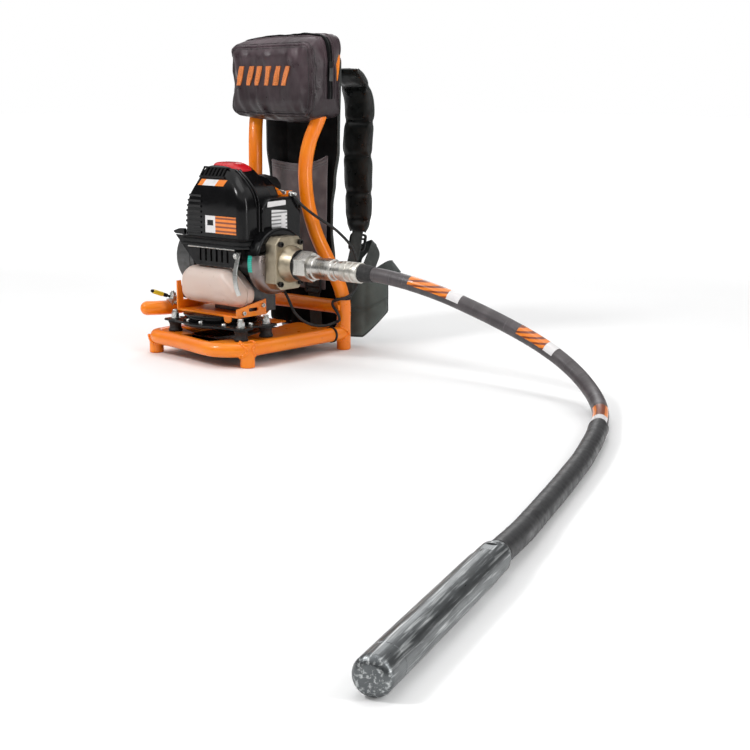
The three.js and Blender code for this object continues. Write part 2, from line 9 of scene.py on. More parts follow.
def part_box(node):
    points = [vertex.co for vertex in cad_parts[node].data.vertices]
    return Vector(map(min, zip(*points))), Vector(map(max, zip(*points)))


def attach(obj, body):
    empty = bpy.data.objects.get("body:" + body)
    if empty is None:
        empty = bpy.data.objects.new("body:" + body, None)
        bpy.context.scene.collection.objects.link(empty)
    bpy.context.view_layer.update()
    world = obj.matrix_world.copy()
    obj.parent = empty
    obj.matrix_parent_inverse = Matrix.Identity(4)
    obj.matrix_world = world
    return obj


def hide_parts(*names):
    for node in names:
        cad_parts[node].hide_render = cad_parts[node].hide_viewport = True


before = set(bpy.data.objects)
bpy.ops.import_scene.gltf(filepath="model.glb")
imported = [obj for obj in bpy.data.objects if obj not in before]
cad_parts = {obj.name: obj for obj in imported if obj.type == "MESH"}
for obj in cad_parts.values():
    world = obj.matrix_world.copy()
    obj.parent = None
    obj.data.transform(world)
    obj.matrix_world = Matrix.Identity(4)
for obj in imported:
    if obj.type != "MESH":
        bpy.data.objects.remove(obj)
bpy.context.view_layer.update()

scene = bpy.context.scene

# ------------------------------------------------------------------ places
# Shapes are worked out in millimetres about the middle of the four feet, and at() brings them into the
# row frame in metres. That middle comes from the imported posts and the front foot.
MM = 0.001
HALF_FEET = 0.115
_left, _right, _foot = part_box("post_left"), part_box("post_right"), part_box("front_foot_right")
MIDDLE = Vector(((_left[0][0] + _right[1][0]) / 2, (_foot[0][1] + _foot[1][1]) / 2 + HALF_FEET, 0))
X, Y, Z = Vector((1, 0, 0)), Vector((0, 1, 0)), Vector((0, 0, 1))


def at(x, y, z):
    return MIDDLE + Vector((x, y, z)) * MM


def millimetres(p):
    """The opposite of at(): a point's x, y and z in millimetres about the middle of the feet."""
    return (p.x - MIDDLE.x) / MM, (p.y - MIDDLE.y) / MM, p.z / MM


CRANK = at(0, -30, 163)
OUTPUT_BOSS = at(0, -30, 162)
DRIVE_LINE = at(0, -30, 160)


# ------------------------------------------------------------------ camera
SENSOR_WIDTH, FOCAL_LENGTH = 36, 74.4
CAMERA_PLACE = at(1896.5, -1829.6, 465.1)
CAMERA_DOWN, CAMERA_TURN = 10.95, 41.4


def add_camera():
    data = bpy.data.cameras.new("camera")
    data.sensor_width = SENSOR_WIDTH
    data.lens = FOCAL_LENGTH
    data.clip_end = 50
    camera = bpy.data.objects.new("camera", data)
    scene.collection.objects.link(camera)
    camera.location = CAMERA_PLACE
    camera.rotation_euler = (math.radians(90 - CAMERA_DOWN), 0, math.radians(CAMERA_TURN))
    scene.camera = camera


add_camera()


# ------------------------------------------------------------------ mesh helpers
def piece(name, points, faces, surface, body="root"):
    """A smooth-shaded mesh of the given faces that rides on a body."""
    mesh = bpy.data.meshes.new(name)
    mesh.from_pydata([tuple(p) for p in points], [], faces)
    mesh.polygons.foreach_set("use_smooth", [True] * len(mesh.polygons))
    mesh.materials.append(surface)
    obj = bpy.data.objects.new(name, mesh)
    scene.collection.objects.link(obj)
    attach(obj, body)
    return obj


def ring_faces(count, size):
    """Quads between count rings of size points each."""
    faces = []
    for i in range(count - 1):
        a, b = i * size, (i + 1) * size
        faces += [(a + j, a + (j + 1) % size, b + (j + 1) % size, b + j) for j in range(size)]
    return faces


def two_sided_faces(columns, rows):
    """Faces of a closed skin made of two grids, one after the other, joined round their rims."""
    size, half = columns + 1, (columns + 1) * (rows + 1)
    faces = [(j * size + i, j * size + i + 1, (j + 1) * size + i + 1, (j + 1) * size + i)
             for j in range(rows) for i in range(columns)]
    faces += [tuple(half + v for v in reversed(face)) for face in list(faces)]
    rim = (list(range(size)) + [j * size + columns for j in range(1, rows + 1)]
           + [rows * size + i for i in range(columns - 1, -1, -1)] + [j * size for j in range(rows - 1, 0, -1)])
    return faces + [(a, b, half + b, half + a) for a, b in zip(rim, rim[1:] + rim[:1])]


def loft(name, rings, surface, body="root"):
    """A closed skin through rings of equal size, with flat ends."""
    size = len(rings[0])
    points = [p for ring in rings for p in ring]
    faces = ring_faces(len(rings), size)
    faces.append(tuple(range(size - 1, -1, -1)))
    top = (len(rings) - 1) * size
    faces.append(tuple(range(top, top + size)))
    obj = piece(name, points, faces, surface, body)
    face_out(obj)
    return obj


def face_out(obj):
    """Merges doubled points and turns every face outwards."""
    work = bmesh.new()
    work.from_mesh(obj.data)
    bmesh.ops.remove_doubles(work, verts=work.verts, dist=1e-6)
    bmesh.ops.recalc_face_normals(work, faces=work.faces)
    work.to_mesh(obj.data)
    work.free()


def crisp(obj, angle=35):
    """Sharp where two faces meet at more than this angle, smooth elsewhere."""
    split = obj.modifiers.new("crisp", "EDGE_SPLIT")
    split.split_angle = math.radians(angle)
    return obj


def eased(obj, width=0.8, segments=3):
    """Small rounded edges on a machined or pressed piece."""
    for polygon in obj.data.polygons:
        polygon.use_smooth = True
    bevel = obj.modifiers.new("eased", "BEVEL")
    bevel.width = width * MM
    bevel.segments = segments
    bevel.limit_method = "ANGLE"
    bevel.angle_limit = math.radians(32)
    obj.modifiers.new("even", "WEIGHTED_NORMAL")
    return obj


def basis(axis):
    """Two directions at right angles to an axis and to each other."""
    axis = axis.normalized()
    side = Z.cross(axis) if abs(axis.z) < 0.9 else X.cross(axis)
    side.normalize()
    return side, axis.cross(side)


def turned(name, profile, origin, axis, surface, body="root", sides=56, angle=35):
    """A turned piece. The profile is (radius, distance along the axis) in millimetres."""
    side, up = basis(axis)
    axis = axis.normalized()
    rings = []
    for radius, along in profile:
        centre = origin + axis * along * MM
        radius = max(radius, 0.01)
        rings.append([centre + (side * math.cos(a) + up * math.sin(a)) * radius * MM
                      for a in (2 * math.pi * k / sides for k in range(sides))])
    return crisp(loft(name, rings, surface, body), angle)


def smooth_line(points, step):
    """Points an even step apart on the centripetal Catmull-Rom curve through the given points."""
    pts = [Vector(p) for p in points]
    pts = [pts[0] * 2 - pts[1]] + pts + [pts[-1] * 2 - pts[-2]]
    dense = []
    for i in range(1, len(pts) - 2):
        p = pts[i - 1:i + 3]
        t = [0.0]
        for k in range(3):
            t.append(t[-1] + max(1e-6, (p[k + 1] - p[k]).length ** 0.5))
        for s in range(24):
            u = t[1] + (t[2] - t[1]) * s / 24
            a = [p[k] * ((t[k + 1] - u) / (t[k + 1] - t[k])) + p[k + 1] * ((u - t[k]) / (t[k + 1] - t[k]))
                 for k in range(3)]
            b = [a[k] * ((t[k + 2] - u) / (t[k + 2] - t[k])) + a[k + 1] * ((u - t[k]) / (t[k + 2] - t[k]))
                 for k in range(2)]
            dense.append(b[0] * ((t[2] - u) / (t[2] - t[1])) + b[1] * ((u - t[1]) / (t[2] - t[1])))
    dense.append(pts[-2])
    return even_line(dense, step)


def even_line(dense, step):
    """Points an even step apart along a line of straight pieces."""
    lengths = [0.0]
    for a, b in zip(dense, dense[1:]):
        lengths.append(lengths[-1] + (b - a).length)
    count = max(2, round(lengths[-1] / step))
    line, k = [], 0
    for i in range(count + 1):
        want = lengths[-1] * i / count
        while k < len(lengths) - 2 and lengths[k + 1] < want:
            k += 1
        span = max(1e-9, lengths[k + 1] - lengths[k])
        line.append(dense[k].lerp(dense[k + 1], min(1.0, (want - lengths[k]) / span)))
    return line


def frames(line, up=Z):
    """A side and an up direction at each point, carried along the line without twist."""
    result = []
    side = None
    for i, here in enumerate(line):
        along = (line[min(i + 1, len(line) - 1)] - line[max(i - 1, 0)]).normalized()
        if side is None:
            side = along.cross(up if abs(along.dot(up)) < 0.95 else X)
        side = (side - along * side.dot(along)).normalized()
        result.append((here, side, side.cross(along)))
    return result


def sweep(name, line, section, surface, body="root", up=Z, closed=False, angle=40):
    """A section carried along a line. section(i, s) gives (across, up) pairs in millimetres, where s goes
    from 0 to 1 along the line."""
    line = [Vector(p) for p in line]
    rings = []
    last = len(line) - 1
    for i, (here, side, top) in enumerate(frames(line, up)):
        rings.append([here + (side * a + top * b) * MM for a, b in section(i, i / last)])
    if closed:
        rings = rings[:-1]
        size = len(rings[0])
        faces = ring_faces(len(rings), size)
        start = (len(rings) - 1) * size
        faces += [(start + j, start + (j + 1) % size, (j + 1) % size, j) for j in range(size)]
        obj = piece(name, [p for r in rings for p in r], faces, surface, body)
        face_out(obj)
        return obj
    return crisp(loft(name, rings, surface, body), angle)


def round_section(radius, sides=24):
    ring = [(math.cos(2 * math.pi * k / sides), math.sin(2 * math.pi * k / sides)) for k in range(sides)]
    return lambda i, s: [(radius * a, radius * b) for a, b in ring]


def band_section(width, thickness):
    w, t, r = width / 2, thickness / 2, thickness * 0.35
    ring = [(-w, -t + r), (-w + r, -t), (w - r, -t), (w, -t + r), (w, t - r), (w - r, t), (-w + r, t), (-w, t - r)]
    return lambda i, s: ring


def square_section(width, thickness):
    w, t = width / 2, thickness / 2
    return lambda i, s: [(-w, -t), (w, -t), (w, t), (-w, t)]


def rod(name, a, b, radius, surface, body="root", sides=24):
    return sweep(name, [a, b], round_section(radius, sides), surface, body)


def rounded(corners, radius, steps=8):
    """A closed outline whose corners are rounded by arcs; radius is one number or one for each corner."""
    outline = []
    for i, corner in enumerate(corners):
        here = Vector(corner)
        r = radius[i] if isinstance(radius, (list, tuple)) else radius
        if not r:
            outline.append(here)
            continue
        back = (Vector(corners[i - 1]) - here).normalized()
        on = (Vector(corners[(i + 1) % len(corners)]) - here).normalized()
        half = back.angle(on) / 2
        centre = here + (back + on).normalized() * (r / math.sin(half))
        start = here + back * (r / math.tan(half)) - centre
        end = here + on * (r / math.tan(half)) - centre
        turn = start.angle_signed(end)
        for k in range(steps + 1):
            c, s = math.cos(-turn * k / steps), math.sin(-turn * k / steps)
            outline.append(centre + Vector((start.x * c - start.y * s, start.x * s + start.y * c)))
    return outline


def resample(outline, step):
    """Points an even step apart round a closed outline."""
    loop = [Vector((p[0], p[1], 0)) for p in outline]
    return [Vector((p.x, p.y)) for p in even_line(loop + [loop[0]], step)[:-1]]


def inset(outline, amount):
    """Each point moved in along the outline's normal; the outline runs anticlockwise."""
    moved = []
    for i, here in enumerate(outline):
        along = (outline[(i + 1) % len(outline)] - outline[i - 1]).normalized()
        moved.append(here + Vector((-along.y, along.x)) * amount)
    return moved


def pillow(name, outline, depth, rim, lift, surface, body="root", back_rim=None, step=3.0, shape=None):
    """A moulded cover. The outline is pulled through depth = (back, front) with a rounded rim, and its face
    is filled with rings towards the middle, so that shape() can bend it. lift(a, b, d) places a point."""
    outline = resample(outline, step)
    back, front = depth
    way = 1 if front > back else -1
    arc = [(rim * (1 - math.cos(t)), front - way * rim * (1 - math.sin(t)))
           for t in (math.pi / 2 * k / 6 for k in range(7))]
    walls = max(2, round(abs(front - back - way * rim) / 6))
    start = back
    head = []
    if back_rim:
        head = [(back_rim * (1 - math.sin(t)), back + way * back_rim * (1 - math.cos(t)))
                for t in (math.pi / 2 * k / 4 for k in range(5))]
        start = back + way * back_rim
    end = front - way * rim
    rings = [(0.0, start + (end - start) * k / walls) for k in range(walls)]
    rings = head + rings[bool(back_rim):] + arc
    inner = inset(outline, rim)
    middle = sum(inner, Vector((0, 0))) / len(inner)
    skins = [[lift(p.x, p.y, d) for p in inset(outline, i)] for i, d in rings]
    for k in range(1, 13):
        skins.append([lift(*(middle + (p - middle) * (1 - k / 12.5)), front) for p in inner])
    obj = loft(name, skins, surface, body)
    if shape:
        for vertex in obj.data.vertices:
            vertex.co = shape(vertex.co.copy())
    return obj


def slab(name, outline, span, lift, surface, body="root", ease=0.8):
    """A flat piece of an outline, span = (from, to), with small rounded edges."""
    rings = [[lift(p[0], p[1], d) for p in outline] for d in span]
    return eased(loft(name, rings, surface, body), ease)


def lift_x(a, b, d):
    """(y, z) outlines pulled along X."""
    return at(d, a, b)


def lift_y(a, b, d):
    """(x, z) outlines pulled along Y."""
    return at(a, d, b)


def lift_z(a, b, d):
    """(x, y) outlines pulled along Z."""
    return at(a, b, d)


def mirrored(points):
    """The same points on the other side of the middle plane."""
    return [(-p[0], *p[1:]) for p in points]


# ------------------------------------------------------------------ surfaces
class Surface:
    """One procedural material: a Principled shader with layers of noise on colour, roughness and height.
    Coordinates are the piece's own, in metres, in the row frame."""

    def __init__(self, name, color, roughness, metallic=0.0, **values):
        self.material = bpy.data.materials.new(name)
        self.material.use_nodes = True
        self.nodes = self.material.node_tree.nodes
        self.links = self.material.node_tree.links
        self.shader = self.nodes["Principled BSDF"]
        self.base = (*color, 1)
        self.shader.inputs["Base Color"].default_value = self.base
        self.shader.inputs["Roughness"].default_value = roughness
        self.shader.inputs["Metallic"].default_value = metallic
        for key, value in values.items():
            socket = self.shader.inputs[key.replace("_", " ")]
            socket.default_value = (*value, 1) if socket.type == "RGBA" else value
        self.place = self.nodes.new("ShaderNodeTexCoord").outputs["Object"]
        self.height = None

    def mapped(self, stretch=(1, 1, 1), turn=(0, 0, 0)):
        node = self.nodes.new("ShaderNodeMapping")
        node.vector_type = "TEXTURE"
        node.inputs["Scale"].default_value = [1 / s for s in stretch]
        node.inputs["Rotation"].default_value = turn
        self.links.new(self.place, node.inputs["Vector"])
        return node.outputs["Vector"]

    def noise(self, size, detail=4.0, stretch=(1, 1, 1), turn=(0, 0, 0)):
        """Noise whose largest features are about size millimetres across."""
        node = self.nodes.new("ShaderNodeTexNoise")
        node.inputs["Scale"].default_value = 1 / (size * MM)
        node.inputs["Detail"].default_value = detail
        self.links.new(self.mapped(stretch, turn), node.inputs["Vector"])
        return node.outputs["Fac"]

    def cells(self, size):
        """Grains about size millimetres across."""
        node = self.nodes.new("ShaderNodeTexVoronoi")
        node.inputs["Scale"].default_value = 1 / (size * MM)
        self.links.new(self.mapped(), node.inputs["Vector"])
        return node.outputs["Distance"]

    def waves(self, size, direction="X", turn=(0, 0, 0)):
        """Bands, one every size millimetres: the wave texture at scale 1 repeats every pi / 10 units."""
        node = self.nodes.new("ShaderNodeTexWave")
        node.bands_direction = direction
        node.inputs["Scale"].default_value = math.pi / 10 / (size * MM)
        node.inputs["Distortion"].default_value = 0.0
        self.links.new(self.mapped(turn=turn), node.inputs["Vector"])
        return node.outputs["Fac"]

    def low_on(self, node_name, share=1.0, most=1.0):
        """The value most at the bottom of a node's box, fading to 0 at a share of the box's height."""
        low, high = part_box(node_name)
        height = self.nodes.new("ShaderNodeSeparateXYZ")
        self.links.new(self.place, height.inputs[0])
        return self.spread(height.outputs["Z"], low[2], high[2] * share + low[2] * (1 - share), most, 0.0)

    def spread(self, value, low, high, to_low=0.0, to_high=1.0):
        node = self.nodes.new("ShaderNodeMapRange")
        node.inputs["From Min"].default_value = low
        node.inputs["From Max"].default_value = high
        node.inputs["To Min"].default_value = to_low
        node.inputs["To Max"].default_value = to_high
        self.links.new(value, node.inputs["Value"])
        return node.outputs["Result"]

    def math(self, operation, a, b):
        node = self.nodes.new("ShaderNodeMath")
        node.operation = operation
        for socket, value in zip(node.inputs, (a, b)):
            if isinstance(value, (int, float)):
                socket.default_value = value
            else:
                self.links.new(value, socket)
        return node.outputs["Value"]

    def tint(self, value, color):
        """Mixes a colour into the base where value is high."""
        node = self.nodes.new("ShaderNodeMix")
        node.data_type = "RGBA"
        node.inputs[6].default_value = self.base
        node.inputs[7].default_value = (*color, 1)
        current = self.shader.inputs["Base Color"]
        if current.links:
            self.links.new(current.links[0].from_socket, node.inputs[6])
        self.links.new(value, node.inputs[0])
        self.links.new(node.outputs[2], current)
        return self

    def rough(self, value, low, high):
        self.links.new(self.spread(value, 0.3, 0.7, low, high), self.shader.inputs["Roughness"])
        return self

    def bump(self, value, depth, strength=1.0):
        """Height whose full range is depth millimetres."""
        node = self.nodes.new("ShaderNodeBump")
        node.inputs["Strength"].default_value = strength
        node.inputs["Distance"].default_value = depth * MM
        self.links.new(value, node.inputs["Height"])
        if self.height:
            self.links.new(self.height, node.inputs["Normal"])
        self.height = node.outputs["Normal"]
        self.links.new(self.height, self.shader.inputs["Normal"])
        return self


def powder_orange():
    s = Surface("powder_orange", (0.93, 0.215, 0.004), 0.36, Coat_Weight=0.3, Coat_Roughness=0.1,
                Specular_IOR_Level=0.35)
    s.tint(s.spread(s.noise(60, 3), 0.45, 0.75), (0.98, 0.27, 0.008))
    s.tint(s.spread(s.noise(9, 6), 0.66, 0.78, 0, 0.55), (0.5, 0.10, 0.008))
    s.rough(s.noise(25, 5), 0.26, 0.44)
    return s.bump(s.noise(1.6, 2), 0.05, 0.6).material


def gloss_black():
    s = Surface("gloss_black", (0.004, 0.004, 0.0045), 0.16, Specular_IOR_Level=0.22)
    s.tint(s.spread(s.noise(14, 6), 0.62, 0.85, 0, 0.5), (0.012, 0.0115, 0.011))
    s.rough(s.noise(18, 6), 0.12, 0.24)
    return s.bump(s.noise(22, 2), 0.12, 0.35).material


def matt_black(name="matt_black", color=(0.007, 0.007, 0.0075), roughness=0.5, grain=0.7):
    s = Surface(name, color, roughness, Specular_IOR_Level=0.25)
    s.tint(s.spread(s.noise(12, 6), 0.55, 0.8, 0, 0.7), tuple(2.6 * c for c in color))
    s.rough(s.noise(8, 4), roughness - 0.12, roughness + 0.12)
    return s.bump(s.cells(grain), 0.05, 0.5).material


def red_plastic():
    s = Surface("red_plastic", (0.62, 0.008, 0.016), 0.22, Specular_IOR_Level=0.35)
    s.tint(s.spread(s.noise(10, 5), 0.55, 0.8, 0, 0.6), (0.30, 0.004, 0.01))
    s.rough(s.noise(12, 5), 0.14, 0.32)
    return s.bump(s.noise(12, 2), 0.1, 0.3).material


def cast_metal(name, color, roughness, grain=0.8, depth=0.1, dirt=0.6, dents=0.12):
    s = Surface(name, color, roughness, 0.95)
    s.tint(s.spread(s.noise(16, 6), 0.5, 0.8, 0, dirt), tuple(0.42 * c for c in color))
    s.rough(s.noise(7, 5), roughness - 0.1, roughness + 0.14)
    s.bump(s.noise(grain, 3), depth, 0.6)
    return s.bump(s.noise(9, 4), dents, 0.4).material


def turned_metal(name, color, roughness, direction="X", size=0.5, depth=0.02):
    """Steel with fine tool marks in planes across the given direction."""
    s = Surface(name, color, roughness, 1.0)
    s.tint(s.spread(s.noise(13, 6), 0.55, 0.8, 0, 0.65), tuple(0.45 * c for c in color))
    stretch = {"X": (30, 1, 1), "Y": (1, 30, 1), "Z": (1, 1, 30)}[direction]
    marks = s.noise(size * 30, 3, stretch)
    s.rough(marks, roughness - 0.07, roughness + 0.15)
    s.bump(marks, depth, 0.8)
    return s.bump(s.noise(11, 3), 0.012, 0.4).material


def ground_steel(turn):
    """The poker's worn, ground steel: streaks along its length, dull patches and scratches."""
    s = Surface("ground_steel", (0.17, 0.18, 0.184), 0.3, 1.0)
    along = s.noise(60, 6, (1.0, 22, 22), turn)
    s.tint(s.spread(s.noise(45, 7), 0.42, 0.75, 0, 0.8), (0.06, 0.066, 0.07))
    s.tint(s.spread(along, 0.52, 0.72, 0, 0.9), (0.66, 0.68, 0.68))
    s.rough(along, 0.27, 0.5)
    s.bump(along, 0.05, 0.7)
    return s.bump(s.noise(3.5, 5), 0.05, 0.5).material


def tank_plastic():
    s = Surface("tank_plastic", (0.69, 0.56, 0.495), 0.30, Subsurface_Weight=0.35, Subsurface_Scale=0.02,
                Subsurface_Radius=(1.0, 0.75, 0.6))
    fuel = s.low_on("fuel_tank", 0.8)
    s.tint(s.math("MULTIPLY", fuel, s.spread(s.noise(45, 3), 0.3, 0.7, 0.5, 1.0)), (0.58, 0.36, 0.27))
    s.rough(s.noise(9, 4), 0.27, 0.42)
    return s.bump(s.noise(4, 3), 0.06, 0.5).material


def nylon(name, color, sheen, weave=0.9, wrinkle=18, depth=0.9, gloss=0.62, shine=0.45, painted_shade_on=None):
    """Coated woven nylon: crossed threads, soft creases and a light sheen. Given a node's name, it has painted shade:
    darkest at the bottom of that node's box, where less light falls, and its plain colour at the top."""
    s = Surface(name, color, gloss, Sheen_Weight=sheen, Sheen_Roughness=0.4,
                Sheen_Tint=(0.8, 0.8, 0.85), Specular_IOR_Level=shine)
    s.tint(s.spread(s.noise(wrinkle * 2, 4), 0.42, 0.72, 0, 0.85), tuple(2.1 * c for c in color))
    s.tint(s.spread(s.noise(2.2, 3), 0.55, 0.8, 0, 0.25), tuple(0.4 * c for c in color))
    # Painted shade: the colour darkens towards the bottom of the node's box.
    if painted_shade_on:
        s.tint(s.low_on(painted_shade_on, most=0.95), tuple(0.30 * c for c in color))
    threads = s.math("MULTIPLY", s.waves(weave, "X"), s.waves(weave, "Z"))
    threads = s.math("ADD", threads, s.waves(weave, "Y"))
    s.rough(s.noise(wrinkle, 5), gloss - 0.16, gloss + 0.16)
    s.bump(s.noise(wrinkle, 2.5, (1.6, 1.6, 0.55)), 1.2 * depth, 0.7)
    return s.bump(threads, 0.08, 0.45).material


def leatherette():
    s = Surface("leatherette", (0.085, 0.068, 0.072), 0.5, Sheen_Weight=0.15)
    s.tint(s.spread(s.noise(26, 6), 0.4, 0.72, 0, 0.9), (0.16, 0.135, 0.14))
    s.rough(s.noise(12, 5), 0.38, 0.62)
    s.bump(s.noise(22, 5), 1.1, 0.6)
    return s.bump(s.cells(1.1), 0.09, 0.6).material


def webbing_cloth():
    s = Surface("webbing", (0.030, 0.036, 0.034), 0.72, Sheen_Weight=0.3)
    s.tint(s.spread(s.noise(8, 4), 0.5, 0.8, 0, 0.6), (0.075, 0.085, 0.08))
    ribs = s.waves(1.3, "DIAGONAL")
    return s.bump(ribs, 0.22, 0.7).material


def thread(name, color):
    s = Surface(name, color, 0.6, Sheen_Weight=0.2)
    s.tint(s.spread(s.noise(2, 3), 0.4, 0.7), tuple(0.6 * c for c in color))
    return s.bump(s.waves(0.6, "DIAGONAL"), 0.1, 0.7).material


def rubber():
    s = Surface("rubber", (0.012, 0.012, 0.012), 0.68)
    s.tint(s.spread(s.noise(5, 5), 0.5, 0.75, 0, 0.8), (0.035, 0.034, 0.033))
    s.rough(s.noise(6, 4), 0.55, 0.85)
    return s.bump(s.noise(1.4, 4), 0.12, 0.7).material


def sticker(name, color, mark=None, size=3.0):
    s = Surface(name, color, 0.3, Coat_Weight=0.2)
    s.tint(s.spread(s.noise(10, 5), 0.55, 0.85, 0, 0.35), tuple(0.55 * c for c in color))
    if mark:
        s.tint(s.spread(s.waves(size, "Z"), 0.62, 0.68), mark)
    return s.bump(s.noise(6, 3), 0.05, 0.4).material


def hose_wrap():
    """Rubber cured under cloth tape. The skin's own coordinates are turns round it and metres along it, so
    the tape's weave and its spiral edge follow the hose."""
    s = Surface("hose_wrap", (0.050, 0.042, 0.045), 0.44, Specular_IOR_Level=0.55)
    grid = s.nodes.new("ShaderNodeUVMap")
    grid.uv_map = "along"
    s.place = grid.outputs["UV"]
    s.tint(s.spread(s.noise(30, 6, (0.08, 1, 1)), 0.45, 0.75, 0, 0.8), (0.105, 0.09, 0.095))
    s.tint(s.spread(s.noise(4, 5, (0.08, 1, 1)), 0.62, 0.78, 0, 0.8), (0.16, 0.145, 0.15))
    weave = s.math("MULTIPLY", s.waves(2.2, "X", turn=(0, 0, 0.785)), s.waves(2.2, "X", turn=(0, 0, -0.785)))
    s.rough(s.noise(16, 4, (0.08, 1, 1)), 0.34, 0.58)
    s.bump(s.noise(9, 4, (0.08, 1, 1)), 0.25, 0.5)
    return s.bump(weave, 0.16, 0.7).material


def shrink_sleeve():
    s = Surface("shrink_sleeve", (0.012, 0.012, 0.013), 0.42, Specular_IOR_Level=0.5)
    s.tint(s.spread(s.noise(30, 5), 0.5, 0.8, 0, 0.7), (0.04, 0.04, 0.041))
    s.rough(s.noise(14, 5), 0.33, 0.58)
    return s.bump(s.noise(3, 4), 0.1, 0.5).material


ORANGE = powder_orange()
GLOSS = gloss_black()
MATT = matt_black()
SHEET_BLACK = matt_black("sheet_black", (0.006, 0.006, 0.006), 0.34, 1.6)
RED = red_plastic()
CAST = cast_metal("cast_alloy", (0.60, 0.58, 0.53), 0.36)
BELL = cast_metal("bell_alloy", (0.25, 0.215, 0.205), 0.34, 1.6, 0.008, 0.5, 0.02)
ADAPTOR = cast_metal("adaptor_alloy", (0.40, 0.345, 0.255), 0.4, 0.9, 0.03, 0.55, 0.05)
IRON = cast_metal("dark_casting", (0.12, 0.12, 0.12), 0.5, 1.2, 0.2, 0.5)
STEEL = turned_metal("turned_steel", (0.52, 0.505, 0.475), 0.27, "X", 0.5, 0.012)
ZINC = turned_metal("zinc_steel", (0.60, 0.60, 0.58), 0.3, "Z")
ZINC_X = turned_metal("zinc_steel_across", (0.56, 0.545, 0.51), 0.28, "X", 0.5, 0.012)
SCREW_BLACK = cast_metal("black_oxide", (0.035, 0.034, 0.033), 0.34, 0.6, 0.03, 0.3)
TANK = tank_plastic()
# The bag's nylon has painted shade towards its bottom.
BAG = nylon("bag_nylon", (0.050, 0.031, 0.037), 0.04, depth=1.0, gloss=0.40, shine=0.4, painted_shade_on="bag")
PANEL = nylon("panel_nylon", (0.0022, 0.0022, 0.0024), 0.02, depth=0.6, gloss=0.8, shine=0.1)
BELT = nylon("belt_nylon", (0.050, 0.058, 0.052), 0.3, 0.9, 24, 0.9)
QUILT = nylon("quilt_nylon", (0.0055, 0.0065, 0.006), 0.12, 0.7, 16, 0.5, 0.38, 0.5)
POCKET = leatherette()
WEBBING = webbing_cloth()
GREY_THREAD = thread("grey_thread", (0.16, 0.15, 0.155))
BAG_THREAD = thread("bag_thread", (0.012, 0.009, 0.010))
ORANGE_THREAD = thread("orange_thread", (0.75, 0.20, 0.03))
RUBBER = rubber()
BUCKLE = matt_black("buckle_plastic", (0.010, 0.010, 0.010), 0.35)
LABEL_ORANGE = sticker("label_orange", (0.85, 0.22, 0.015))
LABEL_LINED = sticker("label_lined", (0.85, 0.22, 0.015), (0.22, 0.045, 0.01), 7.0)
LABEL_WHITE = sticker("label_white", (0.78, 0.76, 0.76))
LABEL_GREY = sticker("label_grey_lined", (0.78, 0.77, 0.77), (0.20, 0.20, 0.20), 6.0)
LABEL_GREEN = sticker("label_green", (0.01, 0.36, 0.27), (0.02, 0.50, 0.40), 3.0)
YELLOW = sticker("yellow_grip", (0.75, 0.55, 0.03))
HOSE = hose_wrap()
SLEEVE = shrink_sleeve()


# ------------------------------------------------------------------ hose, its sleeve and labels
HOSE_RADIUS = 11.5
HOSE_DIAMETER = 2 * HOSE_RADIUS * MM
HOSE_ROUTE = [at(*p) for p in (
    (283.5, -30, 160), (303, -30, 160), (335, -29.5, 158), (380, -25, 151.5), (435, -15, 138), (490, -4, 119.5),
    (545, 5, 99), (595, 11, 78), (635, 11, 59), (672, 2, 41), (706, -17, 26), (738, -47.5, 17),
    (766.5, -85, 13.3), (790, -122, 13), (815, -165, 13), (841, -213, 13), (865, -261, 13),
    (892, -317, 13), (922, -385, 13), (951, -453, 13), (973.5, -507, 13.2), (996, -560, 14),
    (1018, -611, 15.8), (1035, -655, 17.2), (1042.3, -675.1, 17.7), (1048.4, -691.7, 17.8))]
HOSE_LINE = smooth_line(HOSE_ROUTE, 0.003)
HOSE_LENGTH = sum((b - a).length for a, b in zip(HOSE_LINE, HOSE_LINE[1:]))
HOSE_SIDES = 40


def hose_skin(name, first, last, radius, surface):
    """A skin round the hose between two shares of its length, with the seam of its coordinates below.
    radius(s, a) is in millimetres, for the share s from 0 to 1 and the angle a from the underside."""
    count = len(HOSE_LINE) - 1
    picked = range(round(first * count), round(last * count) + 1)
    run = [frames(HOSE_LINE)[i] for i in picked]
    rings = []
    for k, (here, side, up) in enumerate(run):
        s = k / (len(run) - 1)
        ring = []
        for j in range(HOSE_SIDES):
            a = 2 * math.pi * j / HOSE_SIDES
            r = radius(s, a) * MM
            ring.append(here + side * (r * math.sin(a)) - up * (r * math.cos(a)))
        rings.append(ring)
    obj = loft(name, rings, surface)
    along = obj.data.uv_layers.new(name="along")
    step = HOSE_LENGTH / count
    girth = math.pi * HOSE_DIAMETER
    for polygon in obj.data.polygons:
        if len(polygon.vertices) != 4:
            continue
        cells = [(v // HOSE_SIDES, v % HOSE_SIDES) for v in polygon.vertices]
        wraps = any(j == 0 for _, j in cells) and any(j == HOSE_SIDES - 1 for _, j in cells)
        for loop, (i, j) in zip(polygon.loop_indices, cells):
            turn = HOSE_SIDES if wraps and j == 0 else j
            along.data[loop].uv = (girth * turn / HOSE_SIDES, (picked[0] + i) * step)
    return obj


def plain_hose(s, a):
    return HOSE_RADIUS


def shrunk(s, a):
    """A tape sleeve shrunk onto the hose: spiral laps, small folds and a rolled front edge."""
    lap = (s * 34 + a / (2 * math.pi)) % 1.0
    folds = 0.28 * noise.noise(Vector((s * 90, 3 * math.cos(a), 3 * math.sin(a))))
    edge = 0.5 * math.exp(-(s * 60) ** 2)
    return 12.92 + 0.22 * lap + folds * 0.5 + edge


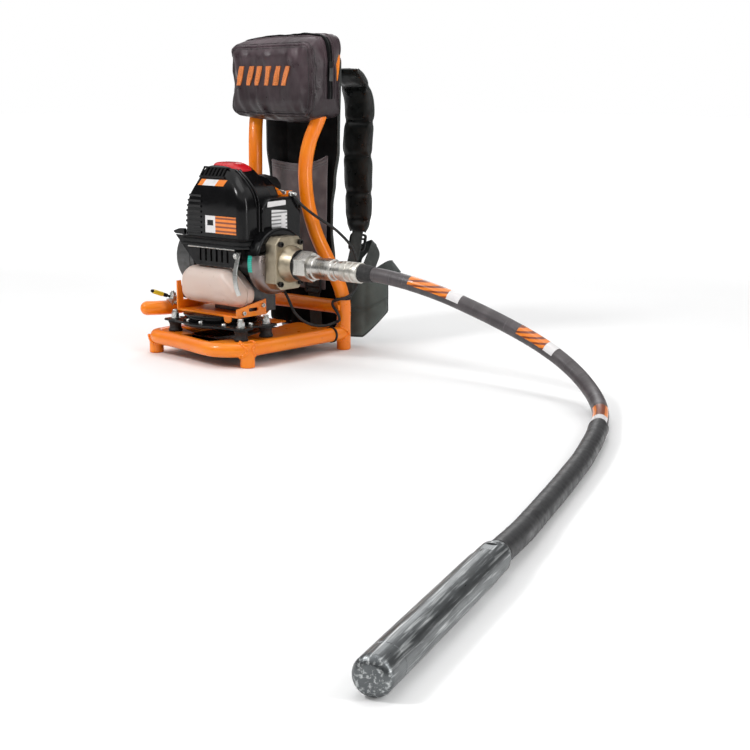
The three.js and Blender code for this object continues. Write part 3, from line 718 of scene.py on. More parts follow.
def label(name, first, last, surface, centre, lift=0.22):
    """A thin label lying on the hose between two shares of its length, at an angle from the underside."""
    count = len(HOSE_LINE) - 1
    run = [frames(HOSE_LINE)[i] for i in range(round(first * count), round(last * count) + 1)]
    size = 18
    rings = []
    for here, side, up in run:
        for_out, for_in = [], []
        for j in range(size + 1):
            a = centre + LABEL_SPREAD * (j / size - 0.5)
            way = side * math.sin(a) - up * math.cos(a)
            for_out.append(here + way * (HOSE_RADIUS + lift) * MM)
            for_in.append(here + way * (HOSE_RADIUS - 0.1) * MM)
        rings.append(for_out + for_in[::-1])
    return crisp(loft(name, rings, surface), 50)


FERRULE_RINGS = [(12.6, 0), (15.9, 0), (16.4, 0.5), (16.4, 9.2), (15.9, 9.8), (14.6, 10.4), (14.6, 13.2), (15.9, 13.8),
                 (16.4, 14.4), (16.4, 21.4), (15.9, 22), (14.6, 22.6), (14.6, 25.4), (15.9, 26), (16.4, 26.6),
                 (16.4, 34.4), (15.6, 35.6), (13.0, 36.6), (12.6, 36.6)]
LABEL_SPREAD = 2.3
LABEL_SPANS = ((0.080, 0.135, 0.153), (0.240, 0.280, 0.296), (0.440, 0.492, 0.512))


def add_hose():
    hose = hose_skin("flexible_hose_skin", 0.0, 1.0, plain_hose, HOSE)
    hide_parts("flexible_hose")
    sleeve = hose_skin("hose_shrink_sleeve", 0.522, 0.997, shrunk, SLEEVE)
    towards_camera = math.pi * 0.86
    for k, (first, last, edge) in enumerate(LABEL_SPANS):
        label(f"hose_label_{k + 1}", first, last, LABEL_LINED, towards_camera)
        label(f"hose_label_{k + 1}_edge", last, edge, LABEL_WHITE, towards_camera)
    ferrule = turned("hose_ferrule_skin", FERRULE_RINGS, at(246.3, -30, 160), X, CAST, sides=64)
    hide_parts("hose_ferrule")


add_hose()


# ------------------------------------------------------------------ floor and light
def smooth_range(nodes, links, value, spans):
    """A value carried smoothly from one range to another: spans = (from low, from high, to low, to high)."""
    node = nodes.new("ShaderNodeMapRange")
    for key, bound in zip(("From Min", "From Max", "To Min", "To Max"), spans):
        node.inputs[key].default_value = bound
    node.interpolation_type = "SMOOTHSTEP"
    links.new(value, node.inputs["Value"])
    return node.outputs["Result"]


def add_floor():
    """White paper that glows further out, so that it ends in white."""
    size = 14.0
    floor = bpy.data.objects.new("floor", bpy.data.meshes.new("floor"))
    corners = [(-size, -size, 0), (size, -size, 0), (size, size, 0), (-size, size, 0)]
    floor.data.from_pydata(corners, [], [(0, 1, 2, 3)])
    scene.collection.objects.link(floor)
    paper = Surface("floor_paper", (0.93, 0.93, 0.93), 0.75)
    paper.tint(paper.spread(paper.noise(500, 3), 0.4, 0.7), (0.95, 0.95, 0.95))
    nodes, links = paper.nodes, paper.links
    reach = nodes.new("ShaderNodeVectorMath")
    reach.operation = "LENGTH"
    links.new(paper.place, reach.inputs[0])
    glow = smooth_range(nodes, links, reach.outputs["Value"], (0.9, 3.2, 0.0, 0.5))
    paper.shader.inputs["Emission Color"].default_value = (1, 1, 1, 1)
    links.new(glow, paper.shader.inputs["Emission Strength"])
    floor.data.materials.append(paper.bump(paper.noise(1.5, 2), 0.02, 0.3).material)


def add_light(name, place, target, size, power):
    data = bpy.data.lights.new(name, "AREA")
    data.shape = "RECTANGLE"
    data.size, data.size_y = size
    data.energy = power
    light = bpy.data.objects.new(name, data)
    scene.collection.objects.link(light)
    light.location = place
    light.rotation_euler = (Vector(target) - Vector(place)).to_track_quat("-Z", "Y").to_euler()


def add_world():
    """A white studio. Gloss and bare metal reflect a darker room with bright softboxes overhead."""
    world = bpy.data.worlds.new("studio")
    world.use_nodes = True
    nodes, links = world.node_tree.nodes, world.node_tree.links
    place = nodes.new("ShaderNodeTexCoord").outputs["Generated"]
    front = nodes.new("ShaderNodeVectorMath")
    front.operation = "DOT_PRODUCT"
    front.inputs[1].default_value = (0.69, -0.69, 0.2)
    links.new(place, front.inputs[0])
    shade = smooth_range(nodes, links, front.outputs["Value"], (-0.1, 0.62, 0.86, 0.2))
    height = nodes.new("ShaderNodeSeparateXYZ")
    links.new(place, height.inputs[0])
    panels = smooth_range(nodes, links, height.outputs["Z"], (0.35, 0.62, 0.12, 1.1))
    ray = nodes.new("ShaderNodeLightPath")
    seen = nodes["Background"]
    seen.inputs["Strength"].default_value = 1.0
    lit, mirror = nodes.new("ShaderNodeBackground"), nodes.new("ShaderNodeBackground")
    links.new(shade, lit.inputs["Strength"])
    links.new(panels, mirror.inputs["Strength"])
    for background in (seen, lit, mirror):
        background.inputs["Color"].default_value = (1.0, 1.0, 1.0, 1)
    for_gloss, for_eye = nodes.new("ShaderNodeMixShader"), nodes.new("ShaderNodeMixShader")
    links.new(ray.outputs["Is Glossy Ray"], for_gloss.inputs[0])
    links.new(lit.outputs[0], for_gloss.inputs[1])
    links.new(mirror.outputs[0], for_gloss.inputs[2])
    links.new(ray.outputs["Is Camera Ray"], for_eye.inputs[0])
    links.new(for_gloss.outputs[0], for_eye.inputs[1])
    links.new(seen.outputs[0], for_eye.inputs[2])
    links.new(for_eye.outputs[0], nodes["World Output"].inputs["Surface"])
    scene.world = world


def add_lights():
    add_world()
    middle = (0.1, -0.1, 0.2)
    add_light("key", (-0.7, -2.2, 2.3), middle, (0.6, 0.6), 40)
    add_light("side", (2.4, -0.25, 0.95), middle, (0.25, 1.8), 18)
    add_light("top", (0.4, -0.1, 2.8), middle, (1.4, 1.4), 14)
    add_light("rear", (-1.4, 2.2, 1.7), middle, (1.2, 0.8), 14)
    scene.view_settings.view_transform = "Standard"


add_floor()
add_lights()


# ------------------------------------------------------------------ frame
TUBE_RADIUS = 12.0
POST_LINE = [(110, 115, 0.2), (110, 115, 45), (110, 115, 82), (107, 110, 107), (99, 101, 136), (89, 94, 162),
             (79, 87, 188), (70, 80.5, 220), (63.5, 76, 255), (60, 74.5, 300), (61.5, 76.5, 330), (66, 81.5, 358),
             (74, 92, 390), (79, 104, 420), (81.5, 114, 450), (82, 120, 480), (82, 122, 500)]
FRONT_LINE = [(-110, 106, 29), (-110, 40, 29), (-110, -30, 29), (-110.5, -84, 29), (-111, -103, 29),
              (-108, -117.5, 29), (-96, -125, 29), (-80, -127.5, 29), (-20, -135, 29), (40, -147, 29), (66, -149, 29),
              (88, -139, 29), (110, -116, 29)]
ARM_LINE = [(-110, 110, 73), (-110, 40, 73), (-110, -20, 73), (-110, -58, 73), (-114, -80, 73),
            (-124, -100, 73), (-135, -115, 73)]


def add_tube(name, points, node, ends=(False, False), radius=TUBE_RADIUS, step=0.006):
    """A bent tube. An end that shows is closed by a plug level with the tube's end, or by a dome beyond it."""
    line = smooth_line([at(*p) for p in points], step)
    first, last = [], []
    if ends[0]:
        first = [(line[0].lerp(line[1], t), r) for t, r in ((0.0, 0.6), (0.0, 0.86), (0.1, 0.96), (0.28, 1.0))]
    if ends[1] == "dome":
        way = (line[-1] - line[-2]).normalized() * radius * MM
        last = [(line[-1] + way * math.sin(a), max(0.02, math.cos(a)))
                for a in (math.pi / 2 * k / 9 for k in range(10))]
    elif ends[1]:
        last = [(line[-1].lerp(line[-2], t), r) for t, r in ((0.28, 1.0), (0.1, 0.96), (0.0, 0.86), (0.0, 0.6))]
    body = [(p, 1.0) for p in (line[1:] if ends[0] else line)]
    body = body[:-1] if ends[1] else body
    marks = first + body + last
    sides = 36
    circle = round_section(radius, sides)(0, 0)
    whole = frames(line)
    rings = []
    for place, share in marks:
        near = min(range(len(line)), key=lambda i: (line[i] - place).length)
        _, side, up = whole[near]
        rings.append([place + (side * a + up * b) * share * MM for a, b in circle])
    obj = crisp(loft(name, rings, ORANGE), 50)
    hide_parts(node)
    return obj


def add_weld(name, end, along, host, radius=TUBE_RADIUS, host_radius=TUBE_RADIUS, bead=2.3):
    """A rippled bead round the end of a tube where it meets the side of another one."""
    host, along = host.normalized(), along.normalized()
    normal = host.cross(along).normalized()
    flat = normal.cross(host)
    side, up = basis(along)
    line = []
    for k in range(145):
        a = 2 * math.pi * k / 144
        ring = (side * math.cos(a) + up * math.sin(a)) * (radius + 0.4)
        off = min(abs(ring.dot(normal)), host_radius)
        reach = math.sqrt(host_radius ** 2 - off ** 2) - ring.dot(flat)
        line.append(end + (ring + along * (reach / max(0.3, along.dot(flat)))) * MM)

    def section(i, s):
        ripple = 1 + 0.16 * math.sin(s * 2 * math.pi * 26) + 0.08 * math.sin(s * 2 * math.pi * 7)
        return [(bead * ripple * math.cos(t), bead * ripple * math.sin(t))
                for t in (2 * math.pi * j / 10 for j in range(10))]

    obj = sweep(name, line, section, ORANGE, closed=True)


def add_frame():
    add_tube("post_right_tube", POST_LINE, "post_right", (True, True))
    add_tube("post_left_tube", mirrored(POST_LINE), "post_left", (True, True))
    add_tube("base_loop_tube", FRONT_LINE, "base_loop")
    add_tube("base_right_pipe", [(110, -113, 29), (110, 0, 29), (110, 113, 29)], "base_right_tube")
    add_tube("side_arm_tube", ARM_LINE, "side_arm", (False, "dome"))
    add_tube("rear_cross_pipe", [(-110, 115, 73), (0, 115, 73), (110, 115, 73)], "rear_cross_tube")
    add_tube("top_cross_pipe", [(-82, 120.5, 484), (0, 120.5, 484), (82, 120.5, 484)], "top_cross_tube")
    add_tube("front_foot_right_tube", [(110, -115, 0.2), (110, -115, 15), (110, -115, 41)], "front_foot_right",
             (True, True))
    add_tube("front_foot_left_tube", [(-111, -117, 0.2), (-111, -117, 10), (-111, -117, 26)], "front_foot_left",
             (True, False))
    add_weld("weld_loop_rear", at(-110, 115, 29), -Y, Z)
    add_weld("weld_arm_rear", at(-110, 115, 73), -Y, Z)
    add_weld("weld_right_rear", at(110, 115, 29), -Y, Z)
    add_weld("weld_right_front", at(110, -115, 29), Y, Z)
    add_weld("weld_loop_front", at(110, -115, 29), Vector((-22, -24, 0)), Z)
    add_weld("weld_cross_left", at(-110, 115, 73), X, Z)
    add_weld("weld_cross_right", at(110, 115, 73), -X, Z)
    add_weld("weld_foot_left", at(-111, -117, 29), -Z, Vector((1, -1, 0)))
    add_weld("weld_top_left", at(-82, 120.5, 484), X, Z)
    add_weld("weld_top_right", at(82, 120.5, 484), -X, Z)


add_frame()


# ------------------------------------------------------------------ engine mount
def hexagon(a):
    """How far a hexagon reaches at an angle, as a share of the reach of its corners."""
    return math.cos(math.pi / 6) / math.cos((a % (math.pi / 3)) - math.pi / 6)


def add_nut(name, centre, axis, across, height, surface, body="root", washer=True, stud=4.0):
    """A chamfered hexagon nut on its washer, with the end of its stud."""
    side, up = basis(axis)
    rings = []
    for along, share in ((0, 0.94), (0.08 * height, 1), (0.9 * height, 1), (height, 0.93)):
        ring = []
        for k in range(36):
            a = 2 * math.pi * k / 36
            r = across / math.sqrt(3) * min(hexagon(a), share)
            ring.append(centre + (side * math.cos(a) + up * math.sin(a)) * r * MM + axis * along * MM)
        rings.append(ring)
    parts = [crisp(loft(name, rings, surface, body), 24)]
    if stud:
        thread_line = [(stud, height - 0.5)]
        for k in range(int(stud * 1.4)):
            thread_line += [(stud, height + 0.7 * k), (stud - 0.45, height + 0.7 * k + 0.35)]
        thread_line.append((stud - 0.8, height + 0.7 * int(stud * 1.4) + 0.4))
        parts.append(turned(f"{name}_stud", thread_line, centre, axis, surface, body, sides=24, angle=60))
    if washer:
        disc = [(across * share, along) for share, along in ((0.3, -1.4), (0.68, -1.4), (0.72, -1.1), (0.72, -0.2),
                                                             (0.68, 0.1), (0.3, 0.1))]
        parts.append(turned(f"{name}_washer", disc, centre, axis, surface, body, 32))
    return parts[0]


def add_socket_screw(name, centre, axis, radius, height, body="root", surface=None):
    """A cap screw with a hexagon socket, standing on the face at centre."""
    side, up = basis(axis)
    surface = surface or SCREW_BLACK
    rings = []
    for r, along, socket in ((radius, 0, False), (radius, height - 0.7, False), (radius - 0.5, height, False),
                             (radius * 0.6, height, True), (radius * 0.56, height - 0.3, True),
                             (radius * 0.56, height - radius * 0.8, True), (0.05, height - radius * 0.8, False)):
        ring = []
        for k in range(36):
            a = 2 * math.pi * k / 36
            reach = r * hexagon(a) if socket else r
            ring.append(centre + (side * math.cos(a) + up * math.sin(a)) * reach * MM + axis * along * MM)
        rings.append(ring)
    obj = crisp(loft(name, rings, surface, body), 30)
    return obj


def finish_node(name, surface, ease=0.0):
    """Gives a carried-over CAD node its surface, and small rounded edges where asked."""
    obj = bpy.data.objects[name]
    obj.data.materials.clear()
    obj.data.materials.append(surface)
    for slot in obj.material_slots:
        slot.material = surface
    if ease:
        bevel = obj.modifiers.new("eased", "BEVEL")
        bevel.width = ease * MM
        bevel.segments = 3
        bevel.limit_method = "ANGLE"
        bevel.angle_limit = math.radians(40)
        obj.modifiers.new("even", "WEIGHTED_NORMAL")


def add_mount():
    for name in ("gusset_front_left", "gusset_front_right", "gusset_rear_left", "gusset_rear_right"):
        finish_node(name, ORANGE, 0.6)
    # A black sheet disc under the plate: partly a real isolator disc and partly painted shade, made wide to fill the
    # shade beneath the engine mount.
    dish = [(0, 0.6), (52, 0.6), (56, -3.2), (66, -3.4), (70.5, -2.6), (72, -0.6), (72, 1.2), (71, 2.2), (68, 2.6),
            (60, 2.4), (56, 3.2), (46, 3.2), (0, 3.2)]
    disc = turned("isolator_disc_and_painted_shade", dish, at(4, -62, 58.4), Z, SHEET_BLACK, sides=96, angle=35)
    finish_node("isolator_plate", SHEET_BLACK, 0.5)
    swivel = [(0, 61.4), (60, 61.4), (62, 62), (62.4, 64.2), (60, 65), (57, 65.4), (57, 68.6), (60.5, 69.2),
              (62, 70.4), (62, 72.6), (60, 73.6), (0, 73.6)]
    head = turned("swivel_disc", swivel, at(-14, -58, 0), Z, GLOSS, sides=96, angle=30)
    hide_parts("mounting_disc")
    tray = rounded([(-97, -104), (-90, -113), (40, -133), (68, -136), (97, -112), (97, 96), (-97, 96)], 6, 4)
    slab("base_tray", tray, (24, 26), lift_z, SHEET_BLACK, ease=0.6)
    for k, y in enumerate((-96, -70)):
        bar = [at(-92, y + 4, 28.4), at(0, y - 8, 28.4), at(92, y - 14, 28.4)]
        rib = sweep(f"base_tray_rib_{k + 1}", smooth_line(bar, 0.006), band_section(9, 4), SHEET_BLACK, up=Z)
    tab = rounded([(38, 76), (57, 76), (55, 67), (51, 64.5), (44, 64.5), (40, 67)], [0.5, 0.5, 3, 3, 3, 3], 5)
    slab("cradle_tab", tab, (-99.6, -97), lift_y, ORANGE, ease=0.5)
    finish_node("cradle", ORANGE, 0.6)
    bobbin = [(0, 0.2), (11.0, 0.2), (11.8, 0.9), (11.9, 3.0), (11.2, 3.6)]
    bobbin += [(11.2 - 1.3 * math.sin(math.pi * k / 12) ** 0.8, 3.6 + 11.0 * k / 12) for k in range(1, 12)]
    bobbin += [(11.2, 14.6), (11.9, 15.2), (11.8, 17.3), (11.0, 18.0), (0, 18.0)]
    for node, x, y in (("isolator_front_left", -76, -104), ("isolator_rear_left", -76, -47),
                       ("isolator_front_right", 84, -104), ("isolator_rear_right", 84, -47)):
        pad = turned(f"{node}_pad", bobbin, at(x, y, 39.3), Z, RUBBER, sides=48, angle=32)
        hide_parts(node)
        add_nut(f"{node}_nut", at(x, y, 62.4), Z, 11.5, 8, ZINC, stud=5)
    for k, (x, y) in enumerate(((-30, -115), (4, -119), (52, -112), (78, -76))):
        add_socket_screw(f"plate_screw_{k + 1}", at(x, y, 61.4), Z, 4.2, 4.0, surface=ZINC)
    for k, (y, z) in enumerate(((-84, 81), (-40, 90))):
        add_socket_screw(f"cradle_screw_{k + 1}", at(70.2, y, z), X, 3.6, 3.4, surface=ZINC)


add_mount()


# ------------------------------------------------------------------ engine covers
# The front cover by height: left edge, right edge and front face, in millimetres.
COVER_ROWS = ((202, -62, 80, -92), (212, -61.8, 80, -92), (240, -60.5, 80, -92), (258, -57.5, 79.3, -91.4),
              (270, -54, 76, -90), (280, -49, 70.5, -87.6), (290, -43.5, 62, -84), (300, -40, 51.5, -79),
              (309, -38, 40, -73), (314, -35, 32, -69), (317, -30, 24, -66), (318.4, -22, 15, -62))
COVER_BACK = -23.0


def cover_row(z):
    """The cover's edges at a height, on a smooth curve through the rows."""
    last = len(COVER_ROWS) - 1
    k = min(max(sum(row[0] <= z for row in COVER_ROWS) - 1, 0), last - 1)
    a, b, c, d = (COVER_ROWS[min(max(i, 0), last)] for i in (k - 1, k, k + 1, k + 2))
    t = min(1.0, max(0.0, (z - b[0]) / (c[0] - b[0])))
    result = []
    for j in (1, 2, 3):
        span = c[0] - b[0]
        into = (c[j] - a[j]) / (c[0] - a[0]) * span
        out = (d[j] - b[j]) / (d[0] - b[0]) * span
        result.append((2 * t ** 3 - 3 * t ** 2 + 1) * b[j] + (t ** 3 - 2 * t ** 2 + t) * into
                      + (3 * t ** 2 - 2 * t ** 3) * c[j] + (t ** 3 - t ** 2) * out)
    return result


def cover_ring(z, grow=0.0):
    """The cover's whole outline at a height."""
    x0, x1, y0 = cover_row(z)
    corners = [(x0 - grow, y0 - grow), (x1 + grow, y0 - grow), (x1 + grow, COVER_BACK), (x0 - grow, COVER_BACK)]
    return rounded(corners, [11 + grow, 17 + grow, 1, 1], 10)


def cover_front(z, grow=0.0, left_depth=26):
    """The cover's outline at a height, from part of the way along its left side round to the right side."""
    ring = cover_ring(z, grow)
    x0, x1, y0 = cover_row(z)
    return [Vector((x0 - grow, y0 + left_depth)), *ring[:22], Vector((x1 + grow, y0 + 30))]


def add_shroud():
    levels = [202 + 4.0 * k for k in range(29)] + [316, 317, 318, 318.4]
    rings = [[at(p.x, p.y, z) for p in cover_ring(z)] for z in levels]
    cover = crisp(loft("engine_cover_front", rings, GLOSS), 38)
    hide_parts("shroud")

    for k in range(8):
        z = 209 + 8.6 * k
        line = [p for p in cover_front(z, 0.7) if p.x < -20 + 0.05 * z]
        line = even_line([at(p.x, p.y, z) for p in line + [Vector((-19, cover_row(z)[2] - 0.7))]], 0.002)
        sweep(f"cover_louvre_{k + 1}", line, louvre_section, GLOSS, up=Z)
    for k in range(7):
        x = -32 + 8.6 * k
        line = [at(x, cover_row(z)[2] - 1.6, z) for z in (300.5, 302, 304, 306, 308, 310, 312, 314.5)]
        sweep(f"cover_grille_{k + 1}", line, band_section(3.0, 3.6), GLOSS, up=-Y)
    for k, z in enumerate((300.3, 315.2)):
        x0, x1, y0 = cover_row(z)
        edge = [at(x, y0 - 1.2, z) for x in range(-34, 30, 4)]
        sweep(f"cover_grille_edge_{k + 1}", edge, round_section(1.7, 14), GLOSS, up=Z)
    for k, (y, start) in enumerate(((-55.5, 204), (-62, 256))):
        arch = [at(cover_row(z)[1] + 0.6, y, z) for z in [start + 3.0 * i for i in range(38)] if z < 315]
        sweep(f"cover_bead_{k + 1}", arch, round_section(2.2 - 0.6 * k, 14), GLOSS, up=Y)
    lip = [(-90, 207), (-74, 212.5), (-61, 213), (-60, 203), (-82, 203.5)]
    slab("cover_lip", rounded(lip, [1.5, 3, 1, 1, 2], 4), (-93.5, -88), lift_y, GLOSS, ease=0.6)

    front = cover_front(202, 1.6, 12)
    front = [Vector((-66, -92.6))] + [p for p in front if p.x > -40]
    band = even_line([at(p.x, p.y, 194.5) for p in front], 0.003)
    rim = sweep("cover_rim_band", band, band_section(3.2, 15), MATT, up=Z)
    finish_node("front_guard", MATT, 0.4)
    strip = [at(-52, -92.4, 185), at(60, -92.4, 185)]
    sweep("guard_edge_strip", strip, band_section(2, 3), ZINC, up=Z)
    for k in range(7):
        x = -28 + 12.5 * k
        fin = slab(f"cylinder_fin_{k + 1}", rounded([(-88, 158), (-86, 184), (-62, 184), (-62, 158)], 1.5, 3),
                   (x, x + 2.2), lift_x, IRON, ease=0.4)


def louvre_section(i, s):
    """A louvre's section: square behind and rounded in front."""
    return [(-1.2, -1.9), (0.4, -1.7), (1.3, -0.6), (1.3, 0.8), (0.4, 1.8), (-1.2, 1.9)]


def cover_label(name, xs, zs, surface, lift=0.35, shear=0.0):
    """A thin label lying on the front cover."""
    columns, rows = 14, 10
    skins = []
    for face in (lift, -0.4):
        grid = []
        for j in range(rows + 1):
            z = zs[0] + (zs[1] - zs[0]) * j / rows
            for i in range(columns + 1):
                x = xs[0] + (xs[1] - xs[0]) * i / columns + shear * (z - zs[0])
                grid.append(at(x, cover_row(z)[2] - face, z))
        skins.append(grid)
    obj = piece(name, skins[0] + skins[1], two_sided_faces(columns, rows), surface)
    face_out(obj)
    crisp(obj, 50)
    return obj


def add_cover_labels():
    cover_label("cover_label_white", (-9, 15), (210, 238), LABEL_WHITE)
    cover_label("cover_label_orange", (15, 64), (209.5, 238), LABEL_LINED)
    cover_label("cover_label_mark", (-4, 10), (222, 231), MATT, 0.5)
    for name, xs, surface in (("orange_left", (-33, -22), LABEL_ORANGE), ("white", (-22, 8), LABEL_WHITE),
                              ("orange_right", (8, 28), LABEL_ORANGE)):
        cover_label(f"top_label_{name}", xs, (286.5, 296.5), surface, shear=0.6)


def add_top_cover():
    outline = rounded([(-26, -60), (26, -65), (40, -52), (38, -27), (-20, -27)], [7, 12, 8, 6, 6], 6)

    def droop(p):
        x, y, z = millimetres(p)
        fall = 0.009 * max(0.0, x - 6) ** 2 + 0.014 * max(0.0, -45 - y) ** 2
        return p - Z * (fall * (z - 296) / 28) * MM

    cover = crisp(pillow("top_cover_red", outline, (296, 323.5), 4, lift_z, RED, shape=droop), 50)
    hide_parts("top_cover")


def add_fan_cover():
    back = rounded([(-50, 200), (87, 200), (87, 254), (72, 262), (-50, 264)], [1, 1, 8, 10, 10], 6)
    cowl = crisp(pillow("engine_cover_rear", back, (COVER_BACK, 28), 7, lift_y, GLOSS), 45)
    hump = rounded([(-46, 236), (72, 236), (71, 268), (60, 286), (44, 297), (12, 305), (-26, 301), (-46, 280)],
                   [1, 1, 10, 12, 12, 14, 12, 12], 6)
    crisp(pillow("engine_cover_hump", hump, (COVER_BACK, 5), 8, lift_y, GLOSS), 45)
    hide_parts("fan_cover")
    side = rounded([(-55, 170), (33, 170), (35, 258), (20, 268), (-36, 268), (-55, 252)], [6, 8, 8, 8, 14, 14], 6)
    cheek = crisp(pillow("engine_cover_cheek", side, (76, 88.4), 3, lift_x, GLOSS), 45)
    arc = [(-30 + 57 * math.cos(a), 163 + 57 * math.sin(a))
           for a in (math.radians(8 + 157 * k / 40) for k in range(41))]
    hood = crisp(pillow("engine_cover_hood", arc, (80, 104.4), 4, lift_x, GLOSS), 45)
    plaque = rounded([(-45, 253), (-2, 255), (-2, 263), (-43, 262)], 1.5, 3)
    slab("cheek_plaque", plaque, (88, 89.1), lift_x, LABEL_WHITE, ease=0.3)
    note = rounded([(-35, 214), (1, 211), (1, 246), (-35, 249)], 1.5, 3)
    slab("cheek_label", note, (88, 88.8), lift_x, LABEL_GREY, ease=0.2)
    mark = rounded([(-13, 217), (-3, 216), (-3, 241), (-13, 242)], 1.5, 3)
    slab("cheek_label_mark", mark, (88.7, 89.1), lift_x, LABEL_WHITE, ease=0.1)
    for k, (y, z) in enumerate(((-46, 196), (27, 250), (27, 182))):
        add_socket_screw(f"cheek_screw_{k + 1}", at(88.2, y, z), X, 3.6, 3)


def add_tank():
    corners = [(-74, 103), (-62, 90), (56, 89), (71, 97), (73, 119), (35, 152.5), (-56, 152.5), (-73, 138)]
    outline = rounded(corners, [14, 18, 16, 10, 14, 22, 20, 18], 10)
    body = pillow("fuel_tank_moulding", outline, (-57, -101.5), 18, lift_y, TANK, back_rim=5, step=2.5)
    soft = body.modifiers.new("blown", "SMOOTH")
    soft.factor, soft.iterations = 0.5, 24
    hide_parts("fuel_tank")
    line = [at(p.x, -76, p.y) for p in inset(resample(outline, 2.5), -0.1)]
    seam = sweep("fuel_tank_seam", line + [line[0]], square_section(1.8, 1.2), TANK, up=Y, closed=True)
    profile = [(0, 0), (10.6, 0), (12.2, 0.6), (13, 2), (13, 10.6), (12.6, 11.4), (11, 12.6), (8.4, 12.6), (8, 11.8),
               (0, 11.8)]
    rings = []
    for radius, along in profile:
        ring = []
        for k in range(96):
            a = 2 * math.pi * k / 96
            r = max(0.01, radius - (0.7 * max(0.0, math.sin(a * 24)) if radius > 11.8 else 0))
            ring.append(at(-74.3 - along, -70 + r * math.cos(a), 104 + r * math.sin(a)))
        rings.append(ring)
    cap = crisp(loft("fuel_cap_knurled", rings, MATT, "tank_cap"), 35)
    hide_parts("fuel_cap")
    route = [(61, -84, 180), (62.5, -88, 172), (63, -92, 160), (65, -97, 148), (68, -99.6, 134), (72, -100, 122),
             (75, -98, 112)]
    strap = smooth_line([at(*p) for p in route], 0.003)
    sweep("tank_bracket", strap, band_section(10, 2.2), ZINC, up=-Y)
    add_nut("tank_bracket_nut", at(61.5, -88.5, 175), -Y, 9, 4.5, ZINC, stud=2.5)


def add_recoil():
    cup = [(0, -103), (16, -103), (19, -102.4), (20, -101.2), (33, -101), (44, -99), (50, -96), (53.6, -91.5),
           (55, -86), (55, -61), (54, -59.5), (0, -59.5)]
    housing = turned("recoil_cover", cup, CRANK, X, IRON, sides=96, angle=30)
    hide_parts("recoil_housing")
    for k in range(20):
        a = 2 * math.pi * (k + 0.5) / 20
        rings = []
        for r, x in ((23, -101.3), (33, -101.2), (42.5, -99.6), (47, -97.9)):
            half = 0.09 * r
            radial = Y * math.cos(a) + Z * math.sin(a)
            across = Z * math.cos(a) - Y * math.sin(a)
            centre = CRANK + radial * r * MM
            rings.append([centre + across * s * half * MM + X * (x + d) * MM
                          for s, d in ((-1, 0.8), (-1, -0.35), (1, -0.35), (1, 0.8))])
        # Vents on the lower half are light alloy and those above are black: the light alloy below is a painted
        # highlight on the housing.
        surface = BELL if math.sin(a) < 0 else MATT
        crisp(loft(f"recoil_vent_{k + 1:02d}", rings, surface), 30)
    grip = [(5.4, 0), (6.3, 1.2), (6.6, 4), (6.0, 8), (5.6, 14), (5.6, 20), (6.0, 25), (6.6, 29), (6.4, 31),
            (5.2, 32)]
    handle = turned("recoil_grip_handle", grip, at(-122, -2, 221), X, RUBBER, "recoil_grip", 40)
    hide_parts("recoil_handle")
    eyelet = [(2.2, 0), (6, 0), (7.4, 2), (7.4, 5), (5, 8), (2.2, 8)]
    guide = turned("recoil_rope_guide", eyelet, at(-101.5, -2, 203), Vector((-0.349, 0, 0.937)), BELL, sides=36)
    rope = rod("recoil_rope_end", at(-106, -2, 216), at(-99.5, -2, 198.5), 1.6, RUBBER, "recoil_grip", 16)


def add_engine():
    add_shroud()
    add_cover_labels()
    add_top_cover()
    add_fan_cover()
    add_tank()
    add_recoil()
    for name, surface, ease in (("cylinder_block", IRON, 0.3), ("silencer", IRON, 0.8), ("spark_plug_cap", RUBBER, 0),
                                ("crankcase", IRON, 0.4), ("crankshaft", STEEL, 0), ("clutch_shoes", IRON, 0),
                                ("clutch_drum", STEEL, 0), ("recoil_reel", MATT, 0), ("carburettor", BELL, 0.5),
                                ("throttle_cam", ZINC, 0.2), ("choke_lever", MATT, 0.3),
                                ("cable_bracket", ORANGE, 0.3)):
        finish_node(name, surface, ease)
    outline = rounded([(-42, 206), (10, 206), (10, 282), (0, 293), (-32, 298), (-42, 286)], 8, 6)
    cleaner = crisp(pillow("air_cleaner_cover", outline, (44.3, 68), 3, lift_y, MATT, step=2.5), 35)
    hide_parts("air_cleaner")
    for k in range(4):
        left = -37 + 11 * k
        ridge = rounded([(left, 216), (left + 6, 216), (left + 6, 282), (left, 282)], 2, 4)
        slab(f"air_cleaner_rib_{k + 1}", ridge, (67.5, 69.2), lift_y, MATT, ease=0.6)


add_engine()


# ------------------------------------------------------------------ output line
COUPLING_REACH = 25.0


